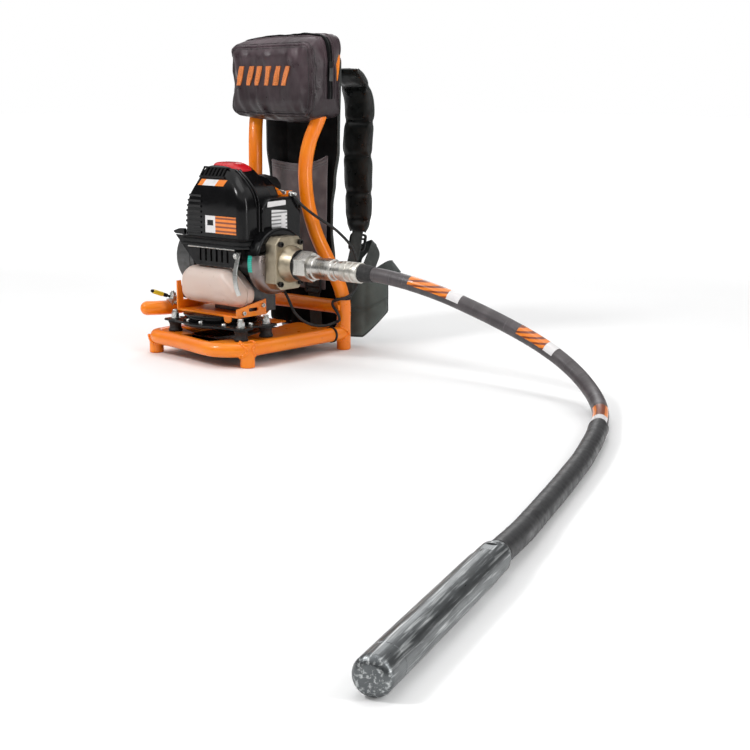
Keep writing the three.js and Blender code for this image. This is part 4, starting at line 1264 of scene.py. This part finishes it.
def add_output():
    bell = [(20, 81), (53.4, 81), (54, 81.8), (54, 88), (53.4, 92), (51.6, 96), (48.6, 99.6), (44.6, 102), (30, 103)]
    housing = turned("clutch_bell", bell, CRANK, X, BELL, sides=96, angle=30)
    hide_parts("bell_housing")
    # Three of the ten places round the bell have screws: the ones that the photo shows.
    for k in (0, 8, 9):
        a = 2 * math.pi * k / 10
        centre = CRANK + (Y * math.cos(a) + Z * math.sin(a)) * 50.5 * MM
        add_socket_screw(f"bell_screw_{k + 1}", centre + X * 92 * MM, X, 2.6, 3.4)

    square = rounded([(-65, 121), (-1, 121), (-1, 207), (-65, 207)], 11, 1)
    block = crisp(pillow("output_block", square, (103, 127), 1.6, lift_x, ADAPTOR, step=2.0), 30)
    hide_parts("output_adaptor")
    flare = [(31, 126), (30.6, 129), (29.6, 132), (27.8, 137), (25.6, 143), (25.2, 148.6), (24.4, 150), (10, 150)]
    boss = turned("output_boss", flare, OUTPUT_BOSS, X, ADAPTOR, sides=80, angle=40)
    clip = [(24.8, 148.9), (25.5, 149.2), (25.5, 150.6), (24.8, 150.9), (20, 150.9)]
    ring = turned("output_ring", clip, OUTPUT_BOSS, X, SCREW_BLACK, sides=80)
    for k, (y, z) in enumerate(((-55, 196), (-56, 131), (-10, 197), (-10, 131))):
        add_socket_screw(f"output_screw_{k + 1}", at(127, y, z), X, 4.6, 5.2)
    rings = []
    for k in range(13):
        a = math.radians(160 + 34 * k / 12)
        rings.append([CRANK + (X * x + (Y * math.cos(a) + Z * math.sin(a)) * (54 + d)) * MM
                      for x, d in ((81.4, 0.4), (90.2, 0.4), (90.2, -0.5), (81.4, -0.5))])
    crisp(loft("bell_label_green", rings, LABEL_GREEN), 50)

    nut_rings = []
    for along, share in ((0, 0.945), (1.6, 1), (24.4, 1), (27, 0.93)):
        ring = []
        for k in range(72):
            a = 2 * math.pi * k / 72
            r = COUPLING_REACH * min(hexagon(a), share)
            ring.append(at(150.6 + along, -30 - r * math.sin(a), 161 + r * math.cos(a)))
        nut_rings.append(ring)
    nut = crisp(loft("coupling_nut_hex", nut_rings, ZINC_X), 24)
    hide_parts("coupling_nut")
    sleeve = [(12, 177.5), (18.6, 177.5), (19.2, 178.2), (19.2, 187), (18.6, 187.8), (17.2, 188.6), (17.2, 206),
              (17.6, 206.8), (17.6, 224), (17, 225), (15.3, 226), (15.3, 233), (14.8, 233.8), (13.6, 234.4),
              (13.6, 238), (15.8, 239), (15.8, 246.1), (12, 246.1)]
    tube = turned("coupling_sleeve_turned", sleeve, DRIVE_LINE, X, STEEL, sides=72, angle=30)
    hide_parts("coupling_sleeve")
    relief = [(12.4, 282.6), (14.2, 282.6), (14.4, 284), (13.6, 296), (12.2, 308), (11.7, 309), (11.4, 309)]
    turned("hose_strain_relief", relief, DRIVE_LINE, X, RUBBER, sides=48, angle=40)


add_output()


# ------------------------------------------------------------------ soft goods
CLOTH_FRAMES, CLOTH_STIFFNESS = 20, 12.0


def inflate(obj, pinned, pressure, cap):
    """Fills a closed fabric skin with air for some frames and applies the result. pinned holds the shares,
    from 0 to 1, by which the points are held; no point moves more than cap millimetres."""
    rest = [v.co.copy() for v in obj.data.vertices]
    group = obj.vertex_groups.new(name="held")
    for i, share in enumerate(pinned):
        if share > 0:
            group.add([i], share, "REPLACE")
    cloth = obj.modifiers.new("inflate", "CLOTH")
    settings = cloth.settings
    settings.quality = 6
    settings.mass = 0.15
    settings.tension_stiffness = CLOTH_STIFFNESS
    settings.compression_stiffness = CLOTH_STIFFNESS
    settings.shear_stiffness = CLOTH_STIFFNESS / 2
    settings.bending_stiffness = 0.15
    settings.use_pressure = True
    settings.uniform_pressure_force = pressure
    settings.vertex_group_mass = "held"
    settings.effector_weights.gravity = 0.0
    cloth.collision_settings.use_collision = False
    for frame_number in range(1, CLOTH_FRAMES + 1):
        scene.frame_set(frame_number)
    shaped = obj.evaluated_get(bpy.context.evaluated_depsgraph_get())
    moved = [v.co.copy() for v in shaped.data.vertices]
    obj.modifiers.remove(cloth)
    scene.frame_set(1)
    for vertex, before, after in zip(obj.data.vertices, rest, moved):
        step = after - before
        if step.length > cap * MM:
            step *= cap * MM / step.length
        vertex.co = before + step


def subdivided(obj):
    smoother = obj.modifiers.new("smoother", "SUBSURF")
    smoother.levels = smoother.render_levels = 1


def quilt(name, place, thickness, across, along, surface):
    """A padded skin over a grid: place(u, v) gives a point and a normal for u from -1 to 1 and v from 0 to 1,
    and thickness(u, v) gives the millimetres above and below it."""
    top, under = [], []
    for j in range(along + 1):
        for i in range(across + 1):
            u, v = 2 * i / across - 1, j / along
            point, normal = place(u, v)
            above, below = thickness(u, v)
            top.append(point + normal * above * MM)
            under.append(point - normal * below * MM)
    obj = piece(name, top + under, two_sided_faces(across, along), surface)
    face_out(obj)
    return obj


def ribbon(name, points, width):
    """Webbing of the given width along a line."""
    line = smooth_line([at(*p) for p in points], 0.003)
    obj = sweep(name, line, band_section(width, 1.8), WEBBING, up=Y)


def tree_of(obj):
    """A mesh made ready for finding where a ray meets it."""
    work = bmesh.new()
    work.from_mesh(obj.data)
    tree = BVHTree.FromBMesh(work)
    work.free()
    return tree


def seam_cord(name, points, radius, surface, up=Z):
    """A binding or a row of stitches along a seam."""
    obj = sweep(name, even_line(points, 0.0025), round_section(radius, 10), surface, up=up)


BAG_LEFT, BAG_RIGHT = -104, 99


def add_bag():
    side = rounded([(53, 394), (134, 394), (134, 541), (53, 521)], [18, 14, 20, 20], 8)
    bag = pillow("bag_shell", side, (BAG_LEFT + 2, BAG_RIGHT - 2), 15, lift_x, BAG, back_rim=15, step=6)
    remesh = bag.modifiers.new("even_skin", "REMESH")
    remesh.mode = "VOXEL"
    remesh.voxel_size = 0.006
    remesh.use_smooth_shade = True
    skin = bpy.data.meshes.new_from_object(bag.evaluated_get(bpy.context.evaluated_depsgraph_get()))
    bag.modifiers.remove(remesh)
    bag.data = skin
    bag.data.materials.clear()
    bag.data.materials.append(BAG)
    inflate(bag, [0.0] * len(bag.data.vertices), 4.0, 4)
    # Soft waves and three pressed-in folds on the front, and a lower edge and top right corner that sag.
    for vertex in bag.data.vertices:
        p = vertex.co
        x, y, z = millimetres(p)
        front = max(0.0, min(1.0, (70 - y) / 16))
        folds = noise.noise(Vector((x * 0.066 + 0.014 * z, 3.1, z * 0.014 + 7)))
        small = noise.noise(Vector((x * 0.09, y * 0.09, z * 0.05)))
        pinch = (math.exp(-((x + 38 + 0.10 * (z - 470)) / 5.5) ** 2)
                 + math.exp(-((x - 24 - 0.05 * (z - 470)) / 6.5) ** 2) * min(1.0, max(0.0, (z - 420) / 40))
                 + 0.7 * math.exp(-((x + 4 - 0.25 * (z - 430)) / 5) ** 2) * max(0.0, min(1.0, (470 - z) / 30)))
        reach = math.sin(math.pi * max(0.0, min(1.0, (z - 408) / 112)))
        push = front * (5.2 * folds - 4.2 * pinch * reach) + 2.0 * small
        sag = (-3.0 * math.exp(-((x - 30) / 50) ** 2) * max(0.0, (430 - z) / 32)
               + 0.0042 * (x - 97) * (z > 500) * (z - 500) / 4)
        vertex.co = p + vertex.normal * push * MM + Z * sag * MM
    for polygon in bag.data.polygons:
        polygon.use_smooth = True
    subdivided(bag)
    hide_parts("bag")
    add_bag_trim(tree_of(bag))


ZIP_DEPTH = 93


def add_bag_trim(tree):
    """Piping, stitches, zip and printed bars laid on the shaped bag."""
    def front_of(x, z, lift=0.4):
        hit = tree.ray_cast(at(x, 0, z), Y)
        return (hit[0] or at(x, 56, z)) - Y * lift * MM

    frame_line = resample(rounded([(BAG_LEFT + 7, 401), (BAG_RIGHT - 8, 399), (BAG_RIGHT - 8, 516),
                                   (BAG_LEFT + 7, 512)], 16), 3)
    loop = [front_of(p.x, p.y) for p in frame_line]
    piping = sweep("bag_piping_front", loop + [loop[0]], round_section(1.9, 12), BAG, up=Y, closed=True)
    for k, inwards in enumerate((4.5, -3.6)):
        line = [front_of(p.x, p.y, 0.1) for p in inset(frame_line, inwards)]
        stitch = sweep(f"bag_stitch_{k + 1}", line + [line[0]], round_section(0.5, 6), BAG_THREAD, up=Y, closed=True)

    def around_bag(y, z_from, z_to, count=70):
        """Points over the bag from the left side across the top to the right side, at one depth."""
        points = []
        for k in range(count + 1):
            a = math.pi * (1.0 - k / count)
            origin = at(-0.5 + 190 * math.cos(a), y, 470 + 190 * math.sin(a))
            target = at(-0.5 + 60 * math.cos(a), y, 470 + 10 * math.sin(a))
            hit = tree.ray_cast(origin, (target - origin).normalized())
            if hit[0]:
                points.append(hit[0])
        drop_right = [tree.ray_cast(at(190, y, z), -X)[0] for z in range(466, z_to, -4)]
        drop_left = [tree.ray_cast(at(-190, y, z), X)[0] for z in range(z_from, 470, 4)]
        return [p for p in drop_left + points + drop_right if p]

    centre = at(0, ZIP_DEPTH - 1, 468)
    for name, width, thick, surface in (("bag_zip_tape", 12, 1.2, PANEL), ("bag_zip_teeth", 3.2, 3.2, BUCKLE)):
        run = even_line(around_bag(ZIP_DEPTH, 424, 424), 0.003)
        rings = []
        for i, here in enumerate(run):
            along = (run[min(i + 1, len(run) - 1)] - run[max(i - 1, 0)]).normalized()
            out = Y.cross(along)
            out = out if out.dot(here - centre) > 0 else -out
            ripple = 1.0 if surface is PANEL else 0.75 + 0.25 * (i % 2)
            rings.append([here + (Y * a * ripple + out * (b + 0.5)) * MM
                          for a, b in band_section(width, thick)(0, 0)])
        crisp(loft(name, rings, surface), 40)
    for k, y in enumerate((81, 105, 126)):
        run = even_line(around_bag(y, 430, 424), 0.004)
        sweep(f"bag_seam_{k + 1}", run, round_section(1.1 if k < 2 else 1.8, 8), BAG, up=Y)

    side = tree.ray_cast(at(190, ZIP_DEPTH, 482), -X)[0] or at(96, ZIP_DEPTH, 482)

    def on_side(lift):
        return lambda a, b, d: side + (Y * a + Z * b + X * (d + lift)) * MM

    slider = rounded([(-5, 5), (5, 5), (4, -6), (-4, -6)], 1.5, 4)
    slab("bag_zip_slider", slider, (0, 4), on_side(0.4), BUCKLE)
    pull = rounded([(-3.4, -3), (3.4, -3), (4.6, -27), (-4.6, -27)], 2, 5)
    slab("bag_zip_pull", pull, (1.6, 3.6), on_side(0.8), IRON, ease=0.6)
    for k in range(6):
        x = -77 + 21.8 * k
        corners = [(x, 448), (x + 10, 448), (x + 19, 480), (x + 9, 480)]
        rings = []
        for j in range(13):
            t = j / 12
            a = Vector(corners[0]).lerp(Vector(corners[3]), t)
            b = Vector(corners[1]).lerp(Vector(corners[2]), t)
            ring = [front_of(*a.lerp(b, i / 5), 1.5 + 0.25 * (j % 2)) for i in range(6)]
            ring += [front_of(*b.lerp(a, i / 5), -0.8) for i in range(6)]
            rings.append(ring)
        crisp(loft(f"bag_motif_{k + 1}", rings, ORANGE_THREAD), 60)


# The back panel by height: its left and right edges.
PANEL_ROWS = ((24, -90, 72), (36, -92, 74), (100, -92, 74), (150, -88, 61), (200, -86, 56), (240, -86, 57),
              (285, -90, 64), (340, -98, 73), (490, -99, 77), (500, -92, 70))
PAD_SEAMS = (0.2, 0.42, 0.64, 0.86)
PAD_CHANNEL = 0.42
PAD_ACROSS, PAD_ALONG = 44, 110


def panel_edges(z):
    """The panel's left and right edges at a height, eased from row to row."""
    for (z0, *first), (z1, *second) in zip(PANEL_ROWS, PANEL_ROWS[1:]):
        if z <= z1:
            t = (z - z0) / (z1 - z0)
            t = t * t * (3 - 2 * t)
            return [a + (b - a) * t for a, b in zip(first, second)]
    return PANEL_ROWS[-1][1:]


def add_back_panel():
    def place(u, v):
        z = 24 + 476 * v
        left, right = panel_edges(z)
        return at(left + (right - left) * (u + 1) / 2, 143.5, z), Y

    def thickness(u, v):
        rim = (1 - abs(u) ** 8) ** 0.5 * min(1.0, (min(v, 1 - v) * 40 + 0.1)) ** 0.5
        channel = 1 - 0.75 * math.exp(-((abs(u) - PAD_CHANNEL) / 0.05) ** 2)
        row = min(abs(v - q) for q in PAD_SEAMS)
        sewn = 1 - 0.7 * math.exp(-(row / 0.012) ** 2)
        return 1.2 + 7.5 * rim * channel * sewn, 1.0 + 3.5 * rim * channel

    panel = quilt("back_pad", place, thickness, PAD_ACROSS, PAD_ALONG, PANEL)
    held = []
    for b in range(PAD_ALONG + 1):
        row = min(abs(b / PAD_ALONG - q) for q in (*PAD_SEAMS, 0.0, 1.0))
        for a in range(PAD_ACROSS + 1):
            u = 2 * a / PAD_ACROSS - 1
            held.append(1.0 if row < 0.006 or abs(abs(u) - PAD_CHANNEL) < 0.03 or abs(u) > 0.97 else 0.0)
    inflate(panel, (held * 2)[:len(panel.data.vertices)], 5.0, 3.5)
    subdivided(panel)
    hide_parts("back_panel")
    edge = [at(panel_edges(z)[k] + 1.2 * k - 0.6, 143.5, z)
            for k, zs in ((1, range(28, 498, 5)), (0, range(497, 27, -5))) for z in zs]
    binding = sweep("back_pad_binding", even_line(edge + [edge[0]], 0.004), round_section(2.6, 12), WEBBING, up=Y,
                    closed=True)


def pocket_point(u, v):
    """The leather pocket hangs in front of the panel between the posts, its top edge sagging."""
    top = 319 - 6 * (1 - u * u) + 11 * max(0.0, u) ** 2
    z = 96 + (top - 96) * v
    width = 60 + 8 * v
    belly = 9 * math.sin(math.pi * min(1.0, v * 0.9 + 0.08)) * (1 - u * u)
    return at(-8 + u * width, 131.5 - belly, z), -Y


def add_pocket():
    def thickness(u, v):
        crease = 1.1 * noise.noise(Vector((u * 2.3, v * 4.2, 2.0))) + 0.5 * noise.noise(Vector((u * 6, v * 9, 5)))
        return 1.4 + crease, 1.0 - crease

    pocket = quilt("rear_pocket", pocket_point, thickness, 40, 60, POCKET)
    subdivided(pocket)
    for k, v in enumerate((0.992, 0.965, 0.945)):
        row = [pocket_point(-0.98 + 1.96 * i / 50, v) for i in range(51)]
        lift, radius, surface = ((0.8, 2.2, POCKET), (2.0, 0.5, GREY_THREAD), (2.0, 0.5, GREY_THREAD))[k]
        seam_cord(f"rear_pocket_hem_{k + 1}", [p + n * lift * MM for p, n in row], radius, surface)


# The shoulder pads seen from the side, as (y, z), and the shares of their length where they are sewn across.
STRAP_LINE = [(155, 475), (162, 469), (171, 459), (181, 445), (189, 425), (191, 396), (187, 360), (186, 320),
              (188, 270), (188, 230), (186, 196)]
STRAP_SEAMS = (0.0, 0.13, 0.345, 0.545, 0.765, 0.93, 1.0)


def add_strap(side, x_middle):
    line = smooth_line([at(x_middle, y, z) for y, z in STRAP_LINE], 0.004)
    across, along = 22, len(line) - 1

    def place(u, v):
        k = round(v * along)
        way = (line[min(k + 1, along)] - line[max(k - 1, 0)]).normalized()
        gap = min(abs(v - q) for q in STRAP_SEAMS)
        pull = 1 - 0.10 * math.exp(-(gap / 0.022) ** 2)
        taper = (1 - 0.12 * max(0.0, (v - 0.5) / 0.4) * (v < 0.93)
                 - (v >= 0.93) * (0.129 + 0.3 * ((v - 0.93) / 0.07)))
        sway = 1.6 * noise.noise(Vector((v * 9, 4.0 if side == "right" else 9.0, 0)))
        out = X.cross(way).normalized()
        out = out if out.dot(Y) + out.dot(Z) > 0 else -out
        return line[k] + X * (u * 32 * pull * taper + sway) * MM, out

    def thickness(u, v):
        gap = min(abs(v - q) for q in STRAP_SEAMS)
        puff = 1 - 0.82 * math.exp(-(gap / 0.014) ** 2)
        rim = (1 - abs(u) ** 3.2) ** 0.6 if abs(u) < 1 else 0.0
        crumple = 0.8 * noise.noise(Vector((u * 2.6, v * 30, 3.0 if side == "right" else 8.0)))
        return 1.0 + (7.0 * puff + crumple) * rim, 1.0 + (6.0 * puff + crumple) * rim

    strap = quilt(f"shoulder_pad_{side}", place, thickness, across, along, QUILT)
    held = []
    for j in range(along + 1):
        gap = min(abs(j / along - q) for q in STRAP_SEAMS)
        held += [1.0 if gap < 0.5 / along or i in (0, across) else 0.0 for i in range(across + 1)]
    inflate(strap, held * 2, 5.0, 4.5)
    subdivided(strap)
    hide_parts(f"shoulder_strap_{side}")
    for edge in (-1, 1):
        border = [place(edge * 1.01, j / along)[0] for j in range(along + 1)]
        seam_cord(f"shoulder_binding_{side}_{(edge + 3) // 2}", border, 1.7, WEBBING, up=X)
    for k, v in enumerate(STRAP_SEAMS[1:-1]):
        for face in (1, -1):
            row = []
            for i in range(25):
                u = -0.96 + 1.92 * i / 24
                point, out = place(u, v)
                row.append(point + out * face * (1.6 + 0.5 * (1 - abs(u))) * MM)
            seam_cord(f"shoulder_seam_{side}_{k + 1}{'ab'[face < 0]}", row, 0.6, GREY_THREAD)


def add_buckle(name, centre, way, out, width=34, height=26):
    """A ladder buckle: a rounded frame with two cross bars."""
    way, out = way.normalized(), out.normalized()
    across = way.cross(out)
    outer = rounded([(-width / 2, -height / 2), (width / 2, -height / 2), (width / 2, height / 2),
                     (-width / 2, height / 2)], 4, 5)
    loop = [centre + (across * p.x + way * p.y) * MM for p in resample(outer, 2)]
    sweep(f"{name}_frame", loop + [loop[0]], square_section(3.8, 3.2), BUCKLE, up=out, closed=True)
    for k, t in enumerate((-0.18, 0.22)):
        a = centre + (across * (-width / 2) + way * t * height) * MM
        b = centre + (across * (width / 2) + way * t * height) * MM
        rod(f"{name}_bar_{k + 1}", a, b, 1.9, BUCKLE, sides=14)


def banded(name, edges, thickness):
    """A ribbon given by the places of its two edges, station by station."""
    lines = [smooth_line([at(*pair[k]) for pair in edges], 0.003) for k in (0, 1)]
    count = 60
    lines = [[line[round(i * (len(line) - 1) / count)] for i in range(count + 1)] for line in lines]
    rings = []
    for i in range(count + 1):
        a, b = lines[0][i], lines[1][i]
        after, before = min(i + 1, count), max(i - 1, 0)
        along = (lines[0][after] + lines[1][after] - lines[0][before] - lines[1][before]).normalized()
        out = (b - a).cross(along).normalized() * thickness / 2 * MM
        ring = [a.lerp(b, t) + out for t in (0.0, 0.05, 0.25, 0.5, 0.75, 0.95, 1.0)]
        rings.append(ring + [a.lerp(b, t) - out for t in (1.0, 0.95, 0.75, 0.5, 0.25, 0.05, 0.0)])
    crisp(loft(name, rings, WEBBING), 50)


# The free end of the shoulder webbing turns over in a loop; the belt's own strap shows above its wing.
LOOP = [((71, 181, 140), (84, 190, 134)), ((69, 183, 158), (83, 193, 147)), ((75, 195, 171), (88, 203, 159)),
        ((88, 203, 179), (96, 206, 171)), ((99, 201, 181), (104, 204, 175)), ((103, 194, 174), (111, 200, 172)),
        ((102, 184, 157), (119, 199, 159)), ((101, 176, 143), (119, 190, 139)), ((96, 169, 128), (115, 184, 122))]
BELT_STRAP = [((108, 193, 130), (112, 197, 108)), ((117, 204, 139), (124, 208, 116)),
              ((123, 215, 145), (135, 220, 124)), ((124, 226, 145), (140, 230, 126)),
              ((118, 232, 140), (130, 238, 120)), ((108, 228, 130), (116, 232, 108))]
STRAP_END = [(80, 186, 200), (80, 183, 188), (81, 178, 168), (82, 168, 140), (83, 158, 112), (82, 154, 84),
             (80, 151.5, 60)]


def add_webbing(side, flip):
    def on_side(points):
        return [(flip * x, y, z) for x, y, z in points]

    ribbon(f"strap_webbing_{side}", on_side(STRAP_END), 25)
    add_buckle(f"strap_buckle_{side}", at(flip * 80, 184.5, 178), Vector((0, 0.25, 1)), Vector((0, 1, -0.25)))
    banded(f"strap_tail_{side}", [on_side(pair) for pair in LOOP], 1.6)
    banded(f"belt_tail_{side}", [on_side(pair) for pair in BELT_STRAP], 1.6)


# The hip belt seen from above, as (x, y), and the shares of its length where it is sewn across.
BELT_SEAMS = (0.40, 0.72)
BELT_LINE = [(8, 157), (56, 162), (90, 172), (113, 188), (129, 208)]


def add_hip_belt(side, flip):
    line = smooth_line([at(flip * x, y, 0) for x, y in BELT_LINE], 0.004)
    along = len(line) - 1

    def place(u, v):
        k = round(v * along)
        way = (line[min(k + 1, along)] - line[max(k - 1, 0)]).normalized()
        out = way.cross(Z) * flip
        low = 14 + 44 * max(0.0, (v - 0.68) / 0.32) ** 1.1
        high = 112 - 3 * max(0.0, (v - 0.5) / 0.5) ** 2
        z = low + (high - low) * (u + 1) / 2
        wave = 1.6 * noise.noise(Vector((v * 5, u * 1.5, 6.0 * flip)))
        return line[k] + Z * z * MM + out * wave * MM, out

    def thickness(u, v):
        rim = (1 - abs(u) ** 6) ** 0.5 if abs(u) < 1 else 0.0
        rim *= min(1.0, min(v, 1 - v) * 22 + 0.06) ** 0.5
        channel = 1 - 0.8 * math.exp(-(u / 0.06) ** 2)
        sewn = 1 - 0.8 * math.exp(-(min(abs(v - q) for q in BELT_SEAMS) / 0.014) ** 2)
        crumple = 0.7 * noise.noise(Vector((v * 16, u * 3, 1.0 + flip)))
        return 1.0 + (4.8 * channel * sewn + crumple) * rim, 1.0 + (4.4 * channel * sewn + crumple) * rim

    across = 24
    belt = quilt(f"hip_pad_{side}", place, thickness, across, along, BELT)
    held = []
    for j in range(along + 1):
        sewn = min(abs(j / along - q) for q in BELT_SEAMS) < 0.6 / along or j in (0, along)
        held += [1.0 if sewn or i in (0, across // 2, across) else 0.0 for i in range(across + 1)]
    inflate(belt, held * 2, 4.0, 3.0)
    subdivided(belt)
    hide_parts(f"hip_belt_{side}")
    for edge in (-1, 1):
        border = [place(edge * 1.01, j / along)[0] for j in range(along + 1)]
        seam_cord(f"hip_binding_{side}_{(edge + 3) // 2}", border, 1.8, WEBBING, up=Y)
    end = [place(-1 + 2 * i / 20, 1.0)[0] for i in range(21)]
    seam_cord(f"hip_binding_{side}_end", end, 1.8, WEBBING, up=X)
    for face in (1, -1):
        row = [place(0, j / along) for j in range(1, along)]
        seam_cord(f"hip_seam_{side}_{'ab'[face < 0]}", [p + n * face * 1.9 * MM for p, n in row], 0.6, GREY_THREAD)
        for k, v in enumerate(BELT_SEAMS):
            row = [place(-0.95 + 1.9 * i / 20, v) for i in range(21)]
            stitches = [p + n * face * 1.9 * MM for p, n in row]
            seam_cord(f"hip_cross_seam_{side}_{k + 1}{'ab'[face < 0]}", stitches, 0.6, GREY_THREAD,
                      up=X)


STRAP_MIDDLE = 79.5


def add_soft_goods():
    add_bag()
    add_back_panel()
    add_pocket()
    for side, flip in (("right", 1), ("left", -1)):
        add_strap(side, STRAP_MIDDLE * flip)
        add_webbing(side, flip)
        add_hip_belt(side, flip)
    ribbon("panel_webbing", [(27, 128.5, 128), (27, 127.5, 112), (28, 127.5, 90), (29, 130, 56), (29, 132.5, 30)],
           28)
    add_buckle("panel_buckle", at(27, 126, 106), Z, -Y, 34, 30)


add_soft_goods()


# ------------------------------------------------------------------ throttle control
CABLE_ROUTE = [(-97, -62, 95), (-92, -30, 94), (-90, 4, 96), (-78, 34, 100), (-40, 47, 104), (15, 44, 106),
               (56, 20, 108), (78, 6, 106), (89, 3, 95), (93, 12, 74), (98, 30, 57), (102, 56, 47),
               (103, 80, 45), (107, 94, 48), (117, 97, 54), (112, 97, 66), (101, 97, 78), (104, 95.5, 85),
               (116, 97, 89), (127, 108, 94), (132, 121, 106), (134, 126, 125), (133, 125, 150),
               (128, 118, 176), (115, 96, 205), (101, 55, 234), (96, 30, 252), (92.5, 18.5, 264),
               (88.5, 14.6, 270.5), (83.4, 14, 272)]


def add_throttle():
    line = smooth_line([at(*p) for p in CABLE_ROUTE], 0.003)
    cable = sweep("throttle_cable_sheath", line, round_section(2.4, 14), RUBBER)
    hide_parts("throttle_cable")
    wire = smooth_line([at(84, 14, 272), at(74, 14, 274.5), at(58, 12, 277), at(40, 10, 270)], 0.002)
    sweep("throttle_wire", wire, round_section(0.8, 8), STEEL)
    screw = [(2, -3), (3.4, -3), (3.4, 3), (4.6, 3.2), (4.6, 7), (3.2, 7.4), (3.2, 15), (2.6, 16)]
    turned("cable_adjuster", screw, at(80.5, 14, 272), X, ZINC, sides=24)
    add_nut("cable_adjuster_nut", at(78.5, 14, 272), -X, 9, 3, ZINC, stud=0, washer=False)
    finish_node("throttle_clamp", ZINC, 0.8)
    lever = [(-112, -77, 90.3), (-112.5, -90, 94.4), (-113.3, -106, 100), (-114, -121, 105.4)]
    bar = sweep("throttle_lever_bar", smooth_line([at(*p) for p in lever], 0.002), round_section(2.0, 20), MATT,
                body="throttle_arm")
    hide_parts("throttle_lever")
    way = at(*lever[3]) - at(*lever[2])
    grip_start = at(-113, -98.5, 97.3)
    grip = [(2.1, 0), (3.7, 0.8), (4.0, 2.5), (3.8, 8), (4.0, 14), (3.8, 20), (3.4, 22), (2.1, 22.6)]
    cuff = [(2.1, 0), (3.2, 0.5), (3.4, 5), (2.9, 9), (2.1, 10)]
    tip = [(1.4, 21.6), (3.0, 22.2), (3.1, 23), (2.4, 25.6), (1.2, 26.6)]
    for name, profile, start, surface in (("throttle_grip", grip, grip_start, YELLOW),
                                          ("throttle_grip_cuff", cuff, at(-112.5, -89.5, 94.2), MATT),
                                          ("throttle_grip_tip", tip, grip_start, MATT)):
        turned(name, profile, start, way, surface, "throttle_arm", 24)
    disc = [(0, 88.3), (6.6, 88.3), (7, 88.8), (7, 91.8), (6.6, 92.3), (0, 92.3)]
    hub = turned("throttle_hub", disc, at(-112, -77, 0), Z, ZINC, "throttle_arm", 40)
    add_nut("throttle_pivot_nut", at(-112, -77, 93.4), Z, 10, 5, ZINC, "throttle_arm", stud=3)
    add_socket_screw("throttle_clamp_screw", at(-104, -77, 82), X, 3.4, 3.2, surface=ZINC)


def add_ties():
    """Nylon ties that hold the cable to the frame."""
    for k, (centre, axis) in enumerate(((at(110, 115, 89), Z), (at(110, 84, 29), Y))):
        side, up = basis(axis)
        line = [centre + (side * math.cos(a) + up * math.sin(a)) * (TUBE_RADIUS + 0.9) * MM
                for a in (2 * math.pi * i / 60 for i in range(61))]
        sweep(f"tie_{k + 1}", line, square_section(1.4, 4.4), BUCKLE, up=axis, closed=True)


add_throttle()
add_ties()
HEAD_STEEL = ground_steel((0, 0, math.radians(-69.8)))
for part in ("head_collar", "head_tube", "head_nose"):
    finish_node(part, HEAD_STEEL)
finish_node("eccentric_rotor", IRON)
